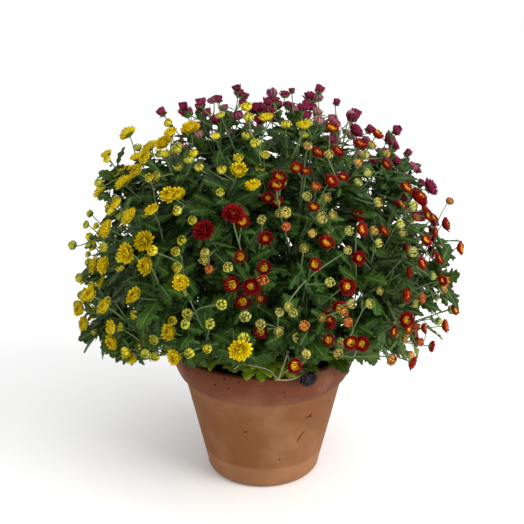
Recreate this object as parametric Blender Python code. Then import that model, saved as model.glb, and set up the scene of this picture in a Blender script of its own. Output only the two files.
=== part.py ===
"""A pot chrysanthemum: a terracotta pot, its potting soil, and leafy stems of three plants
(one yellow, one red, one purple) that fan out from the crown and carry the flower heads.

Metres, +Z up. The origin is the middle of the pot's foot, on the surface it stands on.
The front, which faces the viewer, is -Y.
"""

import math
import random
from collections import namedtuple

import bmesh
import bpy
from mathutils import Vector

MM = 0.001
SEED = 11

# The pot: outside sizes, wall and drain hole.
POT_HEIGHT = 173 * MM
FOOT_RADIUS = 71 * MM
FOOT_ROUNDING = 9 * MM
BAND_BOTTOM = 131 * MM
BODY_TOP_RADIUS = 101 * MM
RIM_RADIUS = 115.5 * MM
LIP_INNER_RADIUS = 104.5 * MM
LIP_ROUNDING = 4 * MM
WALL = 9 * MM
FLOOR = 12 * MM
DRAIN_RADIUS = 12 * MM
POT_SIDES = 36

# The rim's rounded collar, as shares of the way from the body out to the rim's radius and
# from the collar's bottom up to the lip.
COLLAR = ((0.12, 0.012), (0.50, 0.17), (0.76, 0.36), (0.94, 0.56), (1.0, 0.76), (0.86, 0.93))

# The soil fills the pot to a little below its lip. Pieces that meet keep a small gap.
SOIL_LEVEL = 158 * MM
SOIL_SIDES = 24
GAP = 0.35 * MM

# The crown is the point under the soil from which every stem fans out. A stem stands steeper
# near the soil: it has only a share of its final lean there.
CROWN_DEPTH = 75 * MM
CROWN = Vector((0, 0, SOIL_LEVEL - CROWN_DEPTH))
ROOT_REACH = 52 * MM
ABOVE_SOIL = 96 * MM
ROOT_LEAN = 0.5
LEAN_NEAR = 80 * MM
LEAN_FAR = 230 * MM

# The dome that the flower heads fill: an ellipsoid with a flatter underside, which ends in a
# skirt at this share of its drop, higher at the front.
DOME_CENTRE = Vector((-1 * MM, 8 * MM, 272 * MM))
DOME_RADIUS = 233 * MM
DOME_RISE = 216 * MM
DOME_DROP = 175 * MM
SKIRT = -0.60
SKIRT_FRONT_LIFT = 0.46
FRONT = -math.pi / 2
FRONT_CROWDING = 0.2
HEIGHT_JITTER = 1.5
STEEPEST = 0.97 * math.pi
GOLDEN_ANGLE = math.pi * (3 - math.sqrt(5))

# The stems and the flower heads on their stalks.
STEM_COUNT = 36
STEM_JITTER = 0.12
STEM_SIDES = 3
STEM_RADIUS = (3.0 * MM, 1.9 * MM)
HEAD_COUNT = 278
HEAD_JITTER = 0.35
HEAD_DEPTH = (-0.04, 0.13)
HEAD_UPTURN = 0.25
HEAD_TILT = 0.35
HEAD_CLEARANCE = 1.0 * MM
HEAD_MIDDLE = 0.7
HOMING = 0.06
SHORTENING = 0.985
STALK_RADIUS = (0.6 * MM, 1.0 * MM)
FORKS_FROM = 0.84
FORKS_TO = 0.54
FORK_SPACING = 9 * MM
POT_CLEARANCE = 4 * MM

# The underside of the foliage, which rises towards the front.
UNDERSIDE = 136 * MM
UNDERSIDE_SLOPE = 0.46
PLACING_TRIES = 60

# Where each of the three plants holds the dome, seen from its middle, and how far they mix.
PLANTS = {
    "yellow": Vector((-0.80, -0.45, 0.15)),
    "red": Vector((0.62, -0.78, -0.05)),
    "purple": Vector((0.10, 0.95, 0.27)),
}
PLANT_MIXING = 0.10

# Kinds of flower head, by how far they have opened: smallest and largest radius, and the share
# of each plant's heads.
KINDS = {"open": (10.8, 13.2), "cup": (8.3, 10.4), "button": (6.8, 8.2), "bud": (4.8, 6.0)}
SHARES = {
    "yellow": {"open": 0.22, "cup": 0.38, "button": 0.22, "bud": 0.18},
    "red": {"open": 0.09, "cup": 0.44, "button": 0.28, "bud": 0.19},
    "purple": {"open": 0.15, "cup": 0.38, "button": 0.32, "bud": 0.15},
}

# Rings of each kind's solid, as (number of points, ((radius, height), ...) in turn round the
# ring), and the height of its middle point, all as shares of the head's radius.
HEAD_FORMS = {
    "open": (((12, ((1.0, 0.50), (0.66, 0.50))), (5, ((0.50, 1.0),))), 0.74),
    "cup": (((10, ((1.0, 1.0), (0.74, 0.74))),), 0.62),
    "button": (((6, ((1.0, 1.12), (0.86, 0.88))),), 1.16),
    "bud": (((5, ((1.0, 1.0),)),), 1.9),
}

# The right half of a leaf's lobed outline: (share of its length, share of its length aside).
LEAF_HALF = ((0.0, 0.014), (0.38, 0.27), (0.50, 0.15), (0.70, 0.30), (0.83, 0.13))
LEAF_MIDDLE = 0.58
LEAF_THICKNESS = 1.8 * MM
LEAF_STALK_DEPTH = 1.0 * MM
LEAF_LENGTHS = (46 * MM, 60 * MM)
LEAF_SPREADS = (math.radians(48), math.radians(68))
LEAF_DROOP = 0.22
LEAF_CUP = 0.10
LEAF_CLEARANCE = 1.6 * MM
LEAF_SITES = 5
LEAVES_PER_STEM = 4
LEAF_HIGHEST = 0.96
LEAF_SITE_STEP = 0.12
LEAF_SITE_JITTER = 0.03
LEAF_STEM_TURN = 1.3
LEAF_TURN_JITTER = 0.4
MARK_STEP = 4 * MM
STALK_ROOM = 4 * MM
HEAD_ROOM = 2 * MM
LEAF_SHRINKS = (1.0, 0.88, 0.76, 0.64)
LEAF_SWINGS = (0, 0.5, -0.5, 1.0, -1.0, 1.6, -1.6, 2.3, -2.3, 3.1)

Head = namedtuple("Head", "base axis radius kind")
Leaf = namedtuple("Leaf", "base along face length")
Stem = namedtuple("Stem", "name plant path heads forks leaves")


def blend(low, high, share):
    return low + (high - low) * share


def smooth_step(share):
    share = min(1.0, max(0.0, share))
    return share * share * (3 - 2 * share)


# How stems fan out from the crown.


def lean_share(reach):
    """How much of its final lean a stem has at this distance from the crown."""
    return blend(ROOT_LEAN, 1.0, smooth_step((reach - LEAN_NEAR) / (LEAN_FAR - LEAN_NEAR)))


def turned(direction, factor):
    """The direction with its angle from the vertical multiplied by factor."""
    angle = min(math.acos(max(-1.0, min(1.0, direction.z))) * factor, STEEPEST)
    aside = Vector((direction.x, direction.y, 0))
    if aside.length < 1e-9:
        return Vector((0, 0, 1))
    return aside.normalized() * math.sin(angle) + Vector((0, 0, math.cos(angle)))


def fan_out(direction, reach):
    """Where a stem that grows in this direction is, at this distance from the crown."""
    return CROWN + turned(direction, lean_share(reach)) * reach


def fan_in(place):
    """The growing direction that passes through a place, and the place's distance from the crown."""
    arm = place - CROWN
    return turned(arm.normalized(), 1 / lean_share(arm.length)), arm.length


class Territories:
    """Shares the room between the stems: each place belongs to the stem that grows nearest to it."""

    def __init__(self, directions):
        self.directions = directions
        self.walls = [
            [(own - other).normalized() for other in directions if other is not own]
            for own in directions
        ]

    def owner(self, place):
        direction, _ = fan_in(place)
        return max(range(len(self.directions)), key=lambda i: direction.dot(self.directions[i]))

    def room(self, place, own):
        """Distance from a place to the nearest wall of a stem's territory, negative outside it."""
        direction, reach = fan_in(place)
        return reach * min(direction.dot(wall) for wall in self.walls[own])


# The dome of flower heads.


def dome_direction(index, count, rng, jitter):
    """The index-th of count directions spread evenly over the dome, a little closer at the front."""
    turn = index * GOLDEN_ANGLE + rng.uniform(-jitter, jitter)
    turn -= FRONT_CROWDING * math.sin(turn - FRONT)
    lowest = SKIRT + SKIRT_FRONT_LIFT * max(0.0, math.cos(turn - FRONT)) ** 2
    share = (index + 0.5 + rng.uniform(-jitter, jitter) * HEIGHT_JITTER) / count
    up = blend(1.0, lowest, min(1.0, max(0.0, share)))
    flat = math.sqrt(1 - up * up)
    return Vector((math.cos(turn) * flat, math.sin(turn) * flat, up))


def dome_place(direction, depth):
    rise = DOME_RISE if direction.z > 0 else DOME_DROP
    offset = Vector((direction.x * DOME_RADIUS, direction.y * DOME_RADIUS, direction.z * rise))
    return DOME_CENTRE + offset * (1 - depth)


def clear_of_pot(place, margin):
    aside = math.hypot(place.x, place.y)
    if place.z > POT_HEIGHT + margin or aside > RIM_RADIUS + margin:
        return True
    return aside < LIP_INNER_RADIUS - margin and place.z > SOIL_LEVEL + margin


def above_underside(place):
    return place.z > UNDERSIDE - UNDERSIDE_SLOPE * min(place.y, 0.0)


def plant_of(outward, rng):
    score = {
        plant: outward.dot(home) + rng.uniform(-PLANT_MIXING, PLANT_MIXING)
        for plant, home in PLANTS.items()
    }
    return max(score, key=score.get)


def pick_head(plant, rng):
    """The kind and radius of a plant's next flower head."""
    shares = SHARES[plant]
    kind = rng.choices(list(shares), weights=list(shares.values()))[0]
    smallest, largest = KINDS[kind]
    return kind, rng.uniform(smallest, largest) * MM


def plan_head(index, plants, territories, placed, rng):
    """A flower head on the dome, moved in towards its stem until it is clear of the others'."""
    outward = dome_direction(index, HEAD_COUNT, rng, HEAD_JITTER)
    place = dome_place(outward, rng.uniform(*HEAD_DEPTH))
    own = territories.owner(place)
    kind, radius = pick_head(plants[own], rng)
    tilt = Vector((rng.uniform(-1, 1), rng.uniform(-1, 1), rng.uniform(-1, 1)))
    axis = (outward + Vector((0, 0, HEAD_UPTURN)) + tilt * HEAD_TILT).normalized()
    home = territories.directions[own]
    for _ in range(PLACING_TRIES):
        direction, reach = fan_in(place)
        crowded = any((h.base - place).length < h.radius + radius for h in placed[own])
        if territories.room(place + axis * radius * HEAD_MIDDLE, own) < radius + HEAD_CLEARANCE:
            direction = direction.lerp(home, HOMING).normalized()
        elif crowded:
            reach *= SHORTENING
        elif not clear_of_pot(place, radius + POT_CLEARANCE):
            direction = turned(direction, SHORTENING)
        else:
            placed[own].append(Head(place, axis, radius, kind))
            return
        place = fan_out(direction, reach)


# The course of a stem, where its stalks fork off, and its leaves.


def plan_forks(tip_reach, count):
    """Where the stalks leave the stem: the first, to its end, near the top, and the rest below."""
    top = FORKS_FROM * tip_reach
    spacing = min(FORK_SPACING, (FORKS_FROM - FORKS_TO) * tip_reach / max(1, count - 1))
    return [top - spacing * i for i in range(count)]


def plan_path(direction, top):
    """The stem's course as (reach, place) corners, from its root in the soil up to its last fork."""
    reaches = (ROOT_REACH, ABOVE_SOIL, blend(ABOVE_SOIL, top, 0.5), top)
    return [(reach, fan_out(direction, reach)) for reach in reaches]


def on_path(path, reach):
    for (low, start), (high, end) in zip(path, path[1:]):
        if reach <= high:
            break
    return start.lerp(end, (reach - low) / (high - low))


def taken_marks(path, heads, forks):
    """Places that the stalks and heads of a stem hold, with the width to keep clear of each."""
    marks = [
        (head.base + head.axis * head.radius * HEAD_MIDDLE, head.radius + HEAD_ROOM)
        for head in heads
    ]
    for head, fork in zip(heads, forks):
        root = on_path(path, fork)
        steps = max(3, int((head.base - root).length / MARK_STEP))
        marks += [(root.lerp(head.base, i / steps), STALK_ROOM) for i in range(2, steps)]
    return marks


def leaf_point(leaf, share, aside, lift=0.0):
    """A point on an arched leaf: share of the way to its tip, aside from its midrib."""
    side = leaf.along.cross(leaf.face).normalized()
    sag = LEAF_CUP * abs(aside) - LEAF_DROOP * share * share
    flat = leaf.along * share + side * aside + leaf.face * sag
    return leaf.base + flat * leaf.length + leaf.face * lift


def leaf_marks(leaf):
    """Places spread over a leaf, from a little way out along its stalk to its tip."""
    marks = [(eighths / 8, 0.0) for eighths in range(2, 9)]
    for share, aside in LEAF_HALF[1:]:
        marks += [(share, aside * part) for part in (-1.0, -0.5, 0.5, 1.0)]
    return [leaf_point(leaf, share, aside) for share, aside in marks]


def leaf_fits(leaf, territories, own, taken):
    """Whether a leaf stays in its stem's territory and off the pot, stalks, heads and other leaves."""
    points = leaf_marks(leaf)
    if not all(above_underside(point) for point in points):
        return False
    if any((point - mark).length < width for point in points for mark, width in taken):
        return False
    return all(
        territories.room(point, own) > LEAF_CLEARANCE and clear_of_pot(point, POT_CLEARANCE)
        for point in points
    )


def plan_leaf(site, path, territories, own, taken, rng):
    """A leaf on a stem, turned and, if it must be, made smaller until it clears its neighbours."""
    height = LEAF_HIGHEST - LEAF_SITE_STEP * site + rng.uniform(-LEAF_SITE_JITTER, LEAF_SITE_JITTER)
    reach = path[-1][0] * height
    base = on_path(path, reach)
    growth = (on_path(path, reach + 1 * MM) - base).normalized()
    aside = growth.orthogonal().normalized()
    start_turn = site * GOLDEN_ANGLE + own * LEAF_STEM_TURN
    start_turn += rng.uniform(-LEAF_TURN_JITTER, LEAF_TURN_JITTER)
    length = rng.uniform(*LEAF_LENGTHS)
    spread = rng.uniform(*LEAF_SPREADS)
    for shrink in LEAF_SHRINKS:
        for swing in LEAF_SWINGS:
            turn = start_turn + swing
            across = aside * math.cos(turn) + growth.cross(aside) * math.sin(turn)
            along = (across * math.sin(spread) + growth * math.cos(spread)).normalized()
            face = (growth - along * growth.dot(along)).normalized()
            leaf = Leaf(base, along, face, length * shrink)
            if leaf_fits(leaf, territories, own, taken):
                return leaf
    return None


def plan_leaves(path, territories, own, taken, rng):
    leaves = []
    for site in range(LEAF_SITES):
        leaf = plan_leaf(site, path, territories, own, taken, rng)
        if leaf and len(leaves) < LEAVES_PER_STEM:
            leaves.append(leaf)
            taken += [(mark, STALK_ROOM) for mark in leaf_marks(leaf)]
    return leaves


def plan_stems():
    """Every leafy stem with its heads and leaves, as places and directions only."""
    rng = random.Random(SEED)
    outwards = [dome_direction(i, STEM_COUNT, rng, STEM_JITTER) for i in range(STEM_COUNT)]
    plants = [plant_of(outward, rng) for outward in outwards]
    territories = Territories([fan_in(dome_place(outward, 0.0))[0] for outward in outwards])
    placed = [[] for _ in outwards]
    for index in range(HEAD_COUNT):
        plan_head(index, plants, territories, placed, rng)
    stems = []
    number = dict.fromkeys(PLANTS, 0)
    for own, (direction, plant) in enumerate(zip(territories.directions, plants)):
        number[plant] += 1
        heads = sorted(placed[own], key=lambda head: -fan_in(head.base)[0].dot(direction))
        forks = plan_forks(fan_in(heads[0].base)[1], len(heads))
        path = plan_path(direction, forks[0])
        leaves = plan_leaves(path, territories, own, taken_marks(path, heads, forks), rng)
        name = f"stem_{plant}_{number[plant]:02d}"
        stems.append(Stem(name, plant, path, heads, forks, leaves))
    return stems


# Solids skinned over rings of points.


def ring(centre, normal, radii_heights, count):
    """Points round an axis, counterclockwise seen from its tip."""
    side = normal.cross(Vector((0.31, 0.95, 0.05))).normalized()
    other = normal.cross(side)
    points = []
    for i in range(count):
        radius, height = radii_heights[i % len(radii_heights)]
        angle = 2 * math.pi * i / count
        flat = side * math.cos(angle) + other * math.sin(angle)
        points.append(centre + flat * radius + normal * height)
    return points


def stitch(bm, low, high):
    """Fills the band between two rings of vertices, which may differ in number."""
    i = j = 0
    while i < len(low) or j < len(high):
        if j == len(high) or (i < len(low) and (i + 1) / len(low) <= (j + 1) / len(high)):
            bm.faces.new((low[i % len(low)], low[(i + 1) % len(low)], high[j % len(high)]))
            i += 1
        else:
            bm.faces.new((low[i % len(low)], high[(j + 1) % len(high)], high[j % len(high)]))
            j += 1


def skin(rings, tip=None):
    """A closed mesh over the rings, its first end flat and its last end drawn to the tip or flat."""
    bm = bmesh.new()
    loops = [[bm.verts.new(point) for point in points] for points in rings]
    bm.faces.new(reversed(loops[0]))
    for low, high in zip(loops, loops[1:]):
        stitch(bm, low, high)
    if tip is None:
        bm.faces.new(loops[-1])
    else:
        peak = bm.verts.new(tip)
        for vertex, after in zip(loops[-1], loops[-1][1:] + loops[-1][:1]):
            bm.faces.new((vertex, after, peak))
    return bm


def finish_mesh(bm, name):
    bmesh.ops.triangulate(bm, faces=[face for face in bm.faces if len(face.verts) > 3])
    mesh = bpy.data.meshes.new(name)
    bm.to_mesh(mesh)
    bm.free()
    return bpy.data.objects.new(name, mesh)


def tube_rings(points, radii, sides):
    rings = []
    for i, point in enumerate(points):
        ahead = points[min(i + 1, len(points) - 1)]
        behind = points[max(i - 1, 0)]
        rings.append(ring(point, (ahead - behind).normalized(), ((radii[i], 0.0),), sides))
    return rings


def head_rings(head):
    forms, middle = HEAD_FORMS[head.kind]
    rings = []
    for count, pattern in forms:
        sizes = tuple((radius * head.radius, height * head.radius) for radius, height in pattern)
        rings.append(ring(head.base, head.axis, sizes, count))
    return rings, head.base + head.axis * (middle * head.radius)


def stem_radius(stem, reach):
    return blend(*STEM_RADIUS, (reach - ROOT_REACH) / (stem.forks[0] - ROOT_REACH))


def stem_solid(stem):
    """The main stem from its root in the soil up to the head that ends it."""
    head = stem.heads[0]
    points = [place for _, place in stem.path]
    radii = [stem_radius(stem, reach) for reach, _ in stem.path]
    rings = tube_rings(points, radii, STEM_SIDES)
    rings.append(ring(head.base, head.axis, ((STALK_RADIUS[1], 0.0),), STEM_SIDES))
    flower, middle = head_rings(head)
    return finish_mesh(skin(rings + flower, middle), stem.name)


def stalk_solid(stem, head, fork):
    """A side stalk with its head, rooted in the middle of the main stem."""
    root = on_path(stem.path, fork)
    along = (head.base - root).normalized()
    low = ring(root, along, ((STALK_RADIUS[0], 0.0),), 3)
    high = ring(head.base, along, ((STALK_RADIUS[1], 0.0),), 3)
    flower, middle = head_rings(head)
    return finish_mesh(skin([low, high] + flower, middle), "stalk")


def leaf_solid(leaf):
    """A lobed blade, thick at its midrib and thin at its edge, on a keeled stalk."""
    outline = [*LEAF_HALF, (1.0, 0.0)] + [(share, -aside) for share, aside in reversed(LEAF_HALF)]
    bm = bmesh.new()
    edge = [bm.verts.new(leaf_point(leaf, share, aside)) for share, aside in outline]
    top = bm.verts.new(leaf_point(leaf, LEAF_MIDDLE, 0.0, LEAF_THICKNESS / 2))
    bottom = bm.verts.new(leaf_point(leaf, LEAF_MIDDLE, 0.0, -LEAF_THICKNESS / 2))
    keel = bm.verts.new(leaf_point(leaf, 0.0, 0.0, -LEAF_STALK_DEPTH))
    for vertex, after in zip(edge, edge[1:] + edge[:1]):
        bm.faces.new((vertex, after, top))
    for vertex, after in zip(edge, edge[1:]):
        bm.faces.new((after, vertex, bottom))
    bm.faces.new((edge[0], edge[-1], keel))
    bm.faces.new((edge[0], keel, bottom))
    bm.faces.new((keel, edge[-1], bottom))
    bmesh.ops.recalc_face_normals(bm, faces=bm.faces)
    return finish_mesh(bm, "leaf")


def combine(base, pieces, operation):
    """Joins the pieces to the base object, or cuts them from it, with one Boolean, and removes them."""
    joined = bpy.data.collections.new(base.name + "_pieces")
    bpy.context.scene.collection.children.link(joined)
    for piece in pieces:
        joined.objects.link(piece)
    modifier = base.modifiers.new("combine", "BOOLEAN")
    modifier.operation = operation
    modifier.operand_type = "COLLECTION"
    modifier.solver = "MANIFOLD"
    modifier.collection = joined
    bpy.context.view_layer.update()
    graph = bpy.context.evaluated_depsgraph_get()
    mesh = bpy.data.meshes.new_from_object(base.evaluated_get(graph))
    base.modifiers.clear()
    base.data = mesh
    mesh.name = base.name
    for piece in list(joined.objects):
        bpy.data.objects.remove(piece)
    bpy.data.collections.remove(joined)


# The pot and its soil.


def turned_solid(name, profile, sides):
    """A closed profile of (radius, height) points turned round the Z axis."""
    bm = bmesh.new()
    corners = [bm.verts.new((radius, 0, height)) for radius, height in profile]
    edges = [bm.edges.new(pair) for pair in zip(corners, corners[1:] + corners[:1])]
    bmesh.ops.spin(
        bm,
        geom=edges,
        cent=(0, 0, 0),
        axis=(0, 0, 1),
        angle=2 * math.pi,
        steps=sides,
        use_merge=True,
    )
    bmesh.ops.recalc_face_normals(bm, faces=bm.faces)
    return finish_mesh(bm, name)


def body_radius(height):
    """The outside radius of the pot's plain body."""
    return blend(FOOT_RADIUS, BODY_TOP_RADIUS, height / BAND_BOTTOM)


def inner_radius(height):
    """The inside radius of the pot, straight from its floor to the collar and on to the lip."""
    if height <= BAND_BOTTOM:
        return body_radius(height) - WALL
    share = (height - BAND_BOTTOM) / (POT_HEIGHT - LIP_ROUNDING - BAND_BOTTOM)
    return blend(BODY_TOP_RADIUS - WALL, LIP_INNER_RADIUS, share)


def pot_profile():
    foot = [
        (
            body_radius(FOOT_ROUNDING) - FOOT_ROUNDING * (1 - math.sin(angle)),
            FOOT_ROUNDING * (1 - math.cos(angle)),
        )
        for angle in (0, math.pi / 4, math.pi / 2)
    ]
    collar = [
        (blend(BODY_TOP_RADIUS, RIM_RADIUS, out), blend(BAND_BOTTOM, POT_HEIGHT, up))
        for out, up in COLLAR
    ]
    lip = [
        (RIM_RADIUS - 1.4 * LIP_ROUNDING, POT_HEIGHT),
        (LIP_INNER_RADIUS + 0.7 * LIP_ROUNDING, POT_HEIGHT),
        (LIP_INNER_RADIUS, POT_HEIGHT - LIP_ROUNDING),
    ]
    inside = [
        (inner_radius(BAND_BOTTOM), BAND_BOTTOM),
        (inner_radius(FLOOR), FLOOR),
        (DRAIN_RADIUS, FLOOR),
        (DRAIN_RADIUS, 0),
    ]
    return foot + [(BODY_TOP_RADIUS, BAND_BOTTOM)] + collar + lip + inside


def hole_solid(stem):
    """A plain blind hole for a stem, a little wider than it, out through the soil's surface."""
    root, above = (place for _, place in stem.path[:2])
    along = (above - root).normalized()
    widening = GAP / math.cos(math.pi / STEM_SIDES)
    radii = [STEM_RADIUS[0] + widening, stem_radius(stem, ABOVE_SOIL) + widening]
    return finish_mesh(skin(tube_rings([root - along * GAP, above], radii, STEM_SIDES)), "hole")


def soil_solid(stems):
    levels = ((FLOOR, FLOOR + GAP), (BAND_BOTTOM, BAND_BOTTOM), (SOIL_LEVEL, SOIL_LEVEL))
    up = Vector((0, 0, 1))
    rings = [
        ring(up * height, up, ((inner_radius(level) - GAP, 0.0),), SOIL_SIDES)
        for level, height in levels
    ]
    soil = finish_mesh(skin(rings), "soil")
    bpy.context.scene.collection.objects.link(soil)
    combine(soil, [hole_solid(stem) for stem in stems], "DIFFERENCE")
    return soil


# Materials and the whole.


def material(name, colour, roughness):
    made = bpy.data.materials.new(name)
    made.use_nodes = True
    shader = made.node_tree.nodes["Principled BSDF"]
    shader.inputs["Base Color"].default_value = (*colour, 1.0)
    shader.inputs["Roughness"].default_value = roughness
    shader.inputs["Metallic"].default_value = 0.0
    return made


def cover(obj, finish):
    obj.data.materials.clear()
    obj.data.materials.append(finish)


def build_pot():
    pot = turned_solid("pot", pot_profile(), POT_SIDES)
    bpy.context.scene.collection.objects.link(pot)
    cover(pot, material("terracotta", (0.42, 0.15, 0.065), 0.85))


def build_stem(stem, finish):
    obj = stem_solid(stem)
    bpy.context.scene.collection.objects.link(obj)
    pieces = [stalk_solid(stem, *side) for side in zip(stem.heads[1:], stem.forks[1:])]
    pieces += [leaf_solid(leaf) for leaf in stem.leaves]
    combine(obj, pieces, "UNION")
    cover(obj, finish)


def main():
    for obj in list(bpy.data.objects):
        bpy.data.objects.remove(obj)
    stems = plan_stems()
    build_pot()
    cover(soil_solid(stems), material("potting_soil", (0.025, 0.017, 0.011), 0.95))
    finishes = {
        "yellow": material("yellow_plant", (0.40, 0.32, 0.03), 0.6),
        "red": material("red_plant", (0.28, 0.05, 0.03), 0.6),
        "purple": material("purple_plant", (0.20, 0.02, 0.07), 0.6),
    }
    for stem in stems:
        build_stem(stem, finishes[stem.plant])


main()
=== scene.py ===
"""The looks of a pot chrysanthemum: garden mums of three colours that share a terracotta pot.

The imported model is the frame, and each operator here makes one piece, or one group of like
pieces, around it: the turned pot, the potting mix, a leafy spray in bloom for every stem, what
has dropped on the soil and the rim, and the stage. Metres, +Z up. The front faces -Y.
"""

import math
import random
from collections import namedtuple

import bmesh
import bpy
from mathutils import Matrix, Vector, noise


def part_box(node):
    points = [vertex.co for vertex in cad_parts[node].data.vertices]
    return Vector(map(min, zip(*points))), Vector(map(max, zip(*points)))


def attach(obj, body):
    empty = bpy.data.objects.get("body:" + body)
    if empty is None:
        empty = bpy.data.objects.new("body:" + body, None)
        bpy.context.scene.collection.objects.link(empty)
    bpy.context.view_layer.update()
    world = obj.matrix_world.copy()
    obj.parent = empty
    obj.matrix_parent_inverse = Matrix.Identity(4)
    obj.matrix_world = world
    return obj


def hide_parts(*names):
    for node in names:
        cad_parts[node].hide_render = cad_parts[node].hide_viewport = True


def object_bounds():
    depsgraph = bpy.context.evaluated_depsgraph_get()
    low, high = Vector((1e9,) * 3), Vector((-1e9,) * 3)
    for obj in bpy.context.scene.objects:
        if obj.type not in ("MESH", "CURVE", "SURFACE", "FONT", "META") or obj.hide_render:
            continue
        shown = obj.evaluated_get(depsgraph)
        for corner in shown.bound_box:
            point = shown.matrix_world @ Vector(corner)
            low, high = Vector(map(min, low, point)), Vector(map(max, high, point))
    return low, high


bl_info = {
    "name": "Pot Chrysanthemum",
    "version": (1, 0, 0),
    "blender": (4, 5, 0),
    "location": "3D View > Sidebar > Garden Mum",
    "description": "Dresses a potted garden mum of three colours in petals, leaves and clay",
    "category": "Add Mesh",
}

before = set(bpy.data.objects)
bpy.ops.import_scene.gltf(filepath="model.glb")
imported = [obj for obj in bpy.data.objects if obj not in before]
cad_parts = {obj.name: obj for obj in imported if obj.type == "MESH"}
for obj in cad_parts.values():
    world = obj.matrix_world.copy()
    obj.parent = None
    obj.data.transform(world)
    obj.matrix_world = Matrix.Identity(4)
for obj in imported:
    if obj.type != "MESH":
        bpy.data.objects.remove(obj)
CAD_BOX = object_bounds()

MM = 0.001
SEED = 11
BODY = "root"

# The pot's outside and inside, and the soil in it.
POT_HEIGHT = round(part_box("pot")[1][2], 5)
RIM_RADIUS = round(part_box("pot")[1][0], 5)
FOOT_RADIUS = 71 * MM
FOOT_ROUNDING = 9 * MM
BAND_BOTTOM = 131 * MM
BODY_TOP_RADIUS = 101 * MM
LIP_INNER_RADIUS = 104.5 * MM
LIP_ROUNDING = 4 * MM
WALL = 9 * MM
FLOOR = 12 * MM
DRAIN_RADIUS = 12 * MM
COLLAR = ((0.12, 0.012), (0.50, 0.17), (0.76, 0.36), (0.94, 0.56), (1.0, 0.76), (0.86, 0.93))
SOIL_LEVEL = 158 * MM

# The crown is the point under the soil from which every stem fans out. A stem stands steeper
# near the soil: it has only a share of its final lean there.
CROWN_DEPTH = 75 * MM
CROWN = Vector((0, 0, SOIL_LEVEL - CROWN_DEPTH))
ROOT_REACH = 52 * MM
ABOVE_SOIL = 96 * MM
ROOT_LEAN = 0.5
LEAN_NEAR = 80 * MM
LEAN_FAR = 230 * MM

# The dome that the flower heads fill: an ellipsoid with a flatter underside, which ends in a
# skirt at this share of its drop, higher at the front.
DOME_CENTRE = Vector((-1 * MM, 8 * MM, 272 * MM))
DOME_RADIUS = 233 * MM
DOME_RISE = 216 * MM
DOME_DROP = 175 * MM
SKIRT = -0.60
SKIRT_FRONT_LIFT = 0.46
FRONT = -math.pi / 2
FRONT_CROWDING = 0.2
HEIGHT_JITTER = 1.5
STEEPEST = 0.97 * math.pi
GOLDEN_ANGLE = math.pi * (3 - math.sqrt(5))

# The stems and the flower heads on their stalks.
STEM_COUNT = 36
STEM_JITTER = 0.12
HEAD_COUNT = 278
HEAD_JITTER = 0.35
HEAD_DEPTH = (-0.04, 0.13)
HEAD_UPTURN = 0.25
HEAD_TILT = 0.35
HEAD_CLEARANCE = 1.0 * MM
HEAD_MIDDLE = 0.7
HOMING = 0.06
SHORTENING = 0.985
FORKS_FROM = 0.84
FORKS_TO = 0.54
FORK_SPACING = 9 * MM
POT_CLEARANCE = 4 * MM

# The underside of the foliage, which rises towards the front.
UNDERSIDE = 136 * MM
UNDERSIDE_SLOPE = 0.46
PLACING_TRIES = 60

# Where each of the three plants holds the dome, seen from its middle, and how far they mix.
PLANTS = {
    "yellow": Vector((-0.80, -0.45, 0.15)),
    "red": Vector((0.62, -0.78, -0.05)),
    "purple": Vector((0.10, 0.95, 0.27)),
}
PLANT_MIXING = 0.10

# Kinds of flower head, by how far they have opened: smallest and largest radius, and the share
# of each plant's heads.
KINDS = {"open": (10.8, 13.2), "cup": (8.3, 10.4), "button": (6.8, 8.2), "bud": (4.8, 6.0)}
SHARES = {
    "yellow": {"open": 0.22, "cup": 0.38, "button": 0.22, "bud": 0.18},
    "red": {"open": 0.09, "cup": 0.44, "button": 0.28, "bud": 0.19},
    "purple": {"open": 0.15, "cup": 0.38, "button": 0.32, "bud": 0.15},
}

# Corners of the right half of a leaf: (share of its length, share of its length aside).
LEAF_HALF = ((0.0, 0.014), (0.38, 0.27), (0.50, 0.15), (0.70, 0.30), (0.83, 0.13))
LEAF_LENGTHS = (46 * MM, 60 * MM)
LEAF_SPREADS = (math.radians(48), math.radians(68))
LEAF_DROOP = 0.22
LEAF_CUP = 0.10
LEAF_CLEARANCE = 1.6 * MM
LEAF_SITES = 5
LEAVES_PER_STEM = 4
LEAF_HIGHEST = 0.96
LEAF_SITE_STEP = 0.12
LEAF_SITE_JITTER = 0.03
LEAF_STEM_TURN = 1.3
LEAF_TURN_JITTER = 0.4
MARK_STEP = 4 * MM
STALK_ROOM = 4 * MM
HEAD_ROOM = 2 * MM
LEAF_SHRINKS = (1.0, 0.88, 0.76, 0.64)
LEAF_SWINGS = (0, 0.5, -0.5, 1.0, -1.0, 1.6, -1.6, 2.3, -2.3, 3.1)

Head = namedtuple("Head", "base axis radius kind")
Leaf = namedtuple("Leaf", "base along face length")
Stem = namedtuple("Stem", "name plant path heads forks leaves")


def blend(low, high, share):
    return low + (high - low) * share


def smooth_step(share):
    share = min(1.0, max(0.0, share))
    return share * share * (3 - 2 * share)


# How stems fan out from the crown.


def lean_share(reach):
    """How much of its final lean a stem has at this distance from the crown."""
    return blend(ROOT_LEAN, 1.0, smooth_step((reach - LEAN_NEAR) / (LEAN_FAR - LEAN_NEAR)))


def turned(direction, factor):
    """The direction with its angle from the vertical multiplied by factor."""
    angle = min(math.acos(max(-1.0, min(1.0, direction.z))) * factor, STEEPEST)
    aside = Vector((direction.x, direction.y, 0))
    if aside.length < 1e-9:
        return Vector((0, 0, 1))
    return aside.normalized() * math.sin(angle) + Vector((0, 0, math.cos(angle)))


def fan_out(direction, reach):
    """Where a stem that grows in this direction is, at this distance from the crown."""
    return CROWN + turned(direction, lean_share(reach)) * reach


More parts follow.
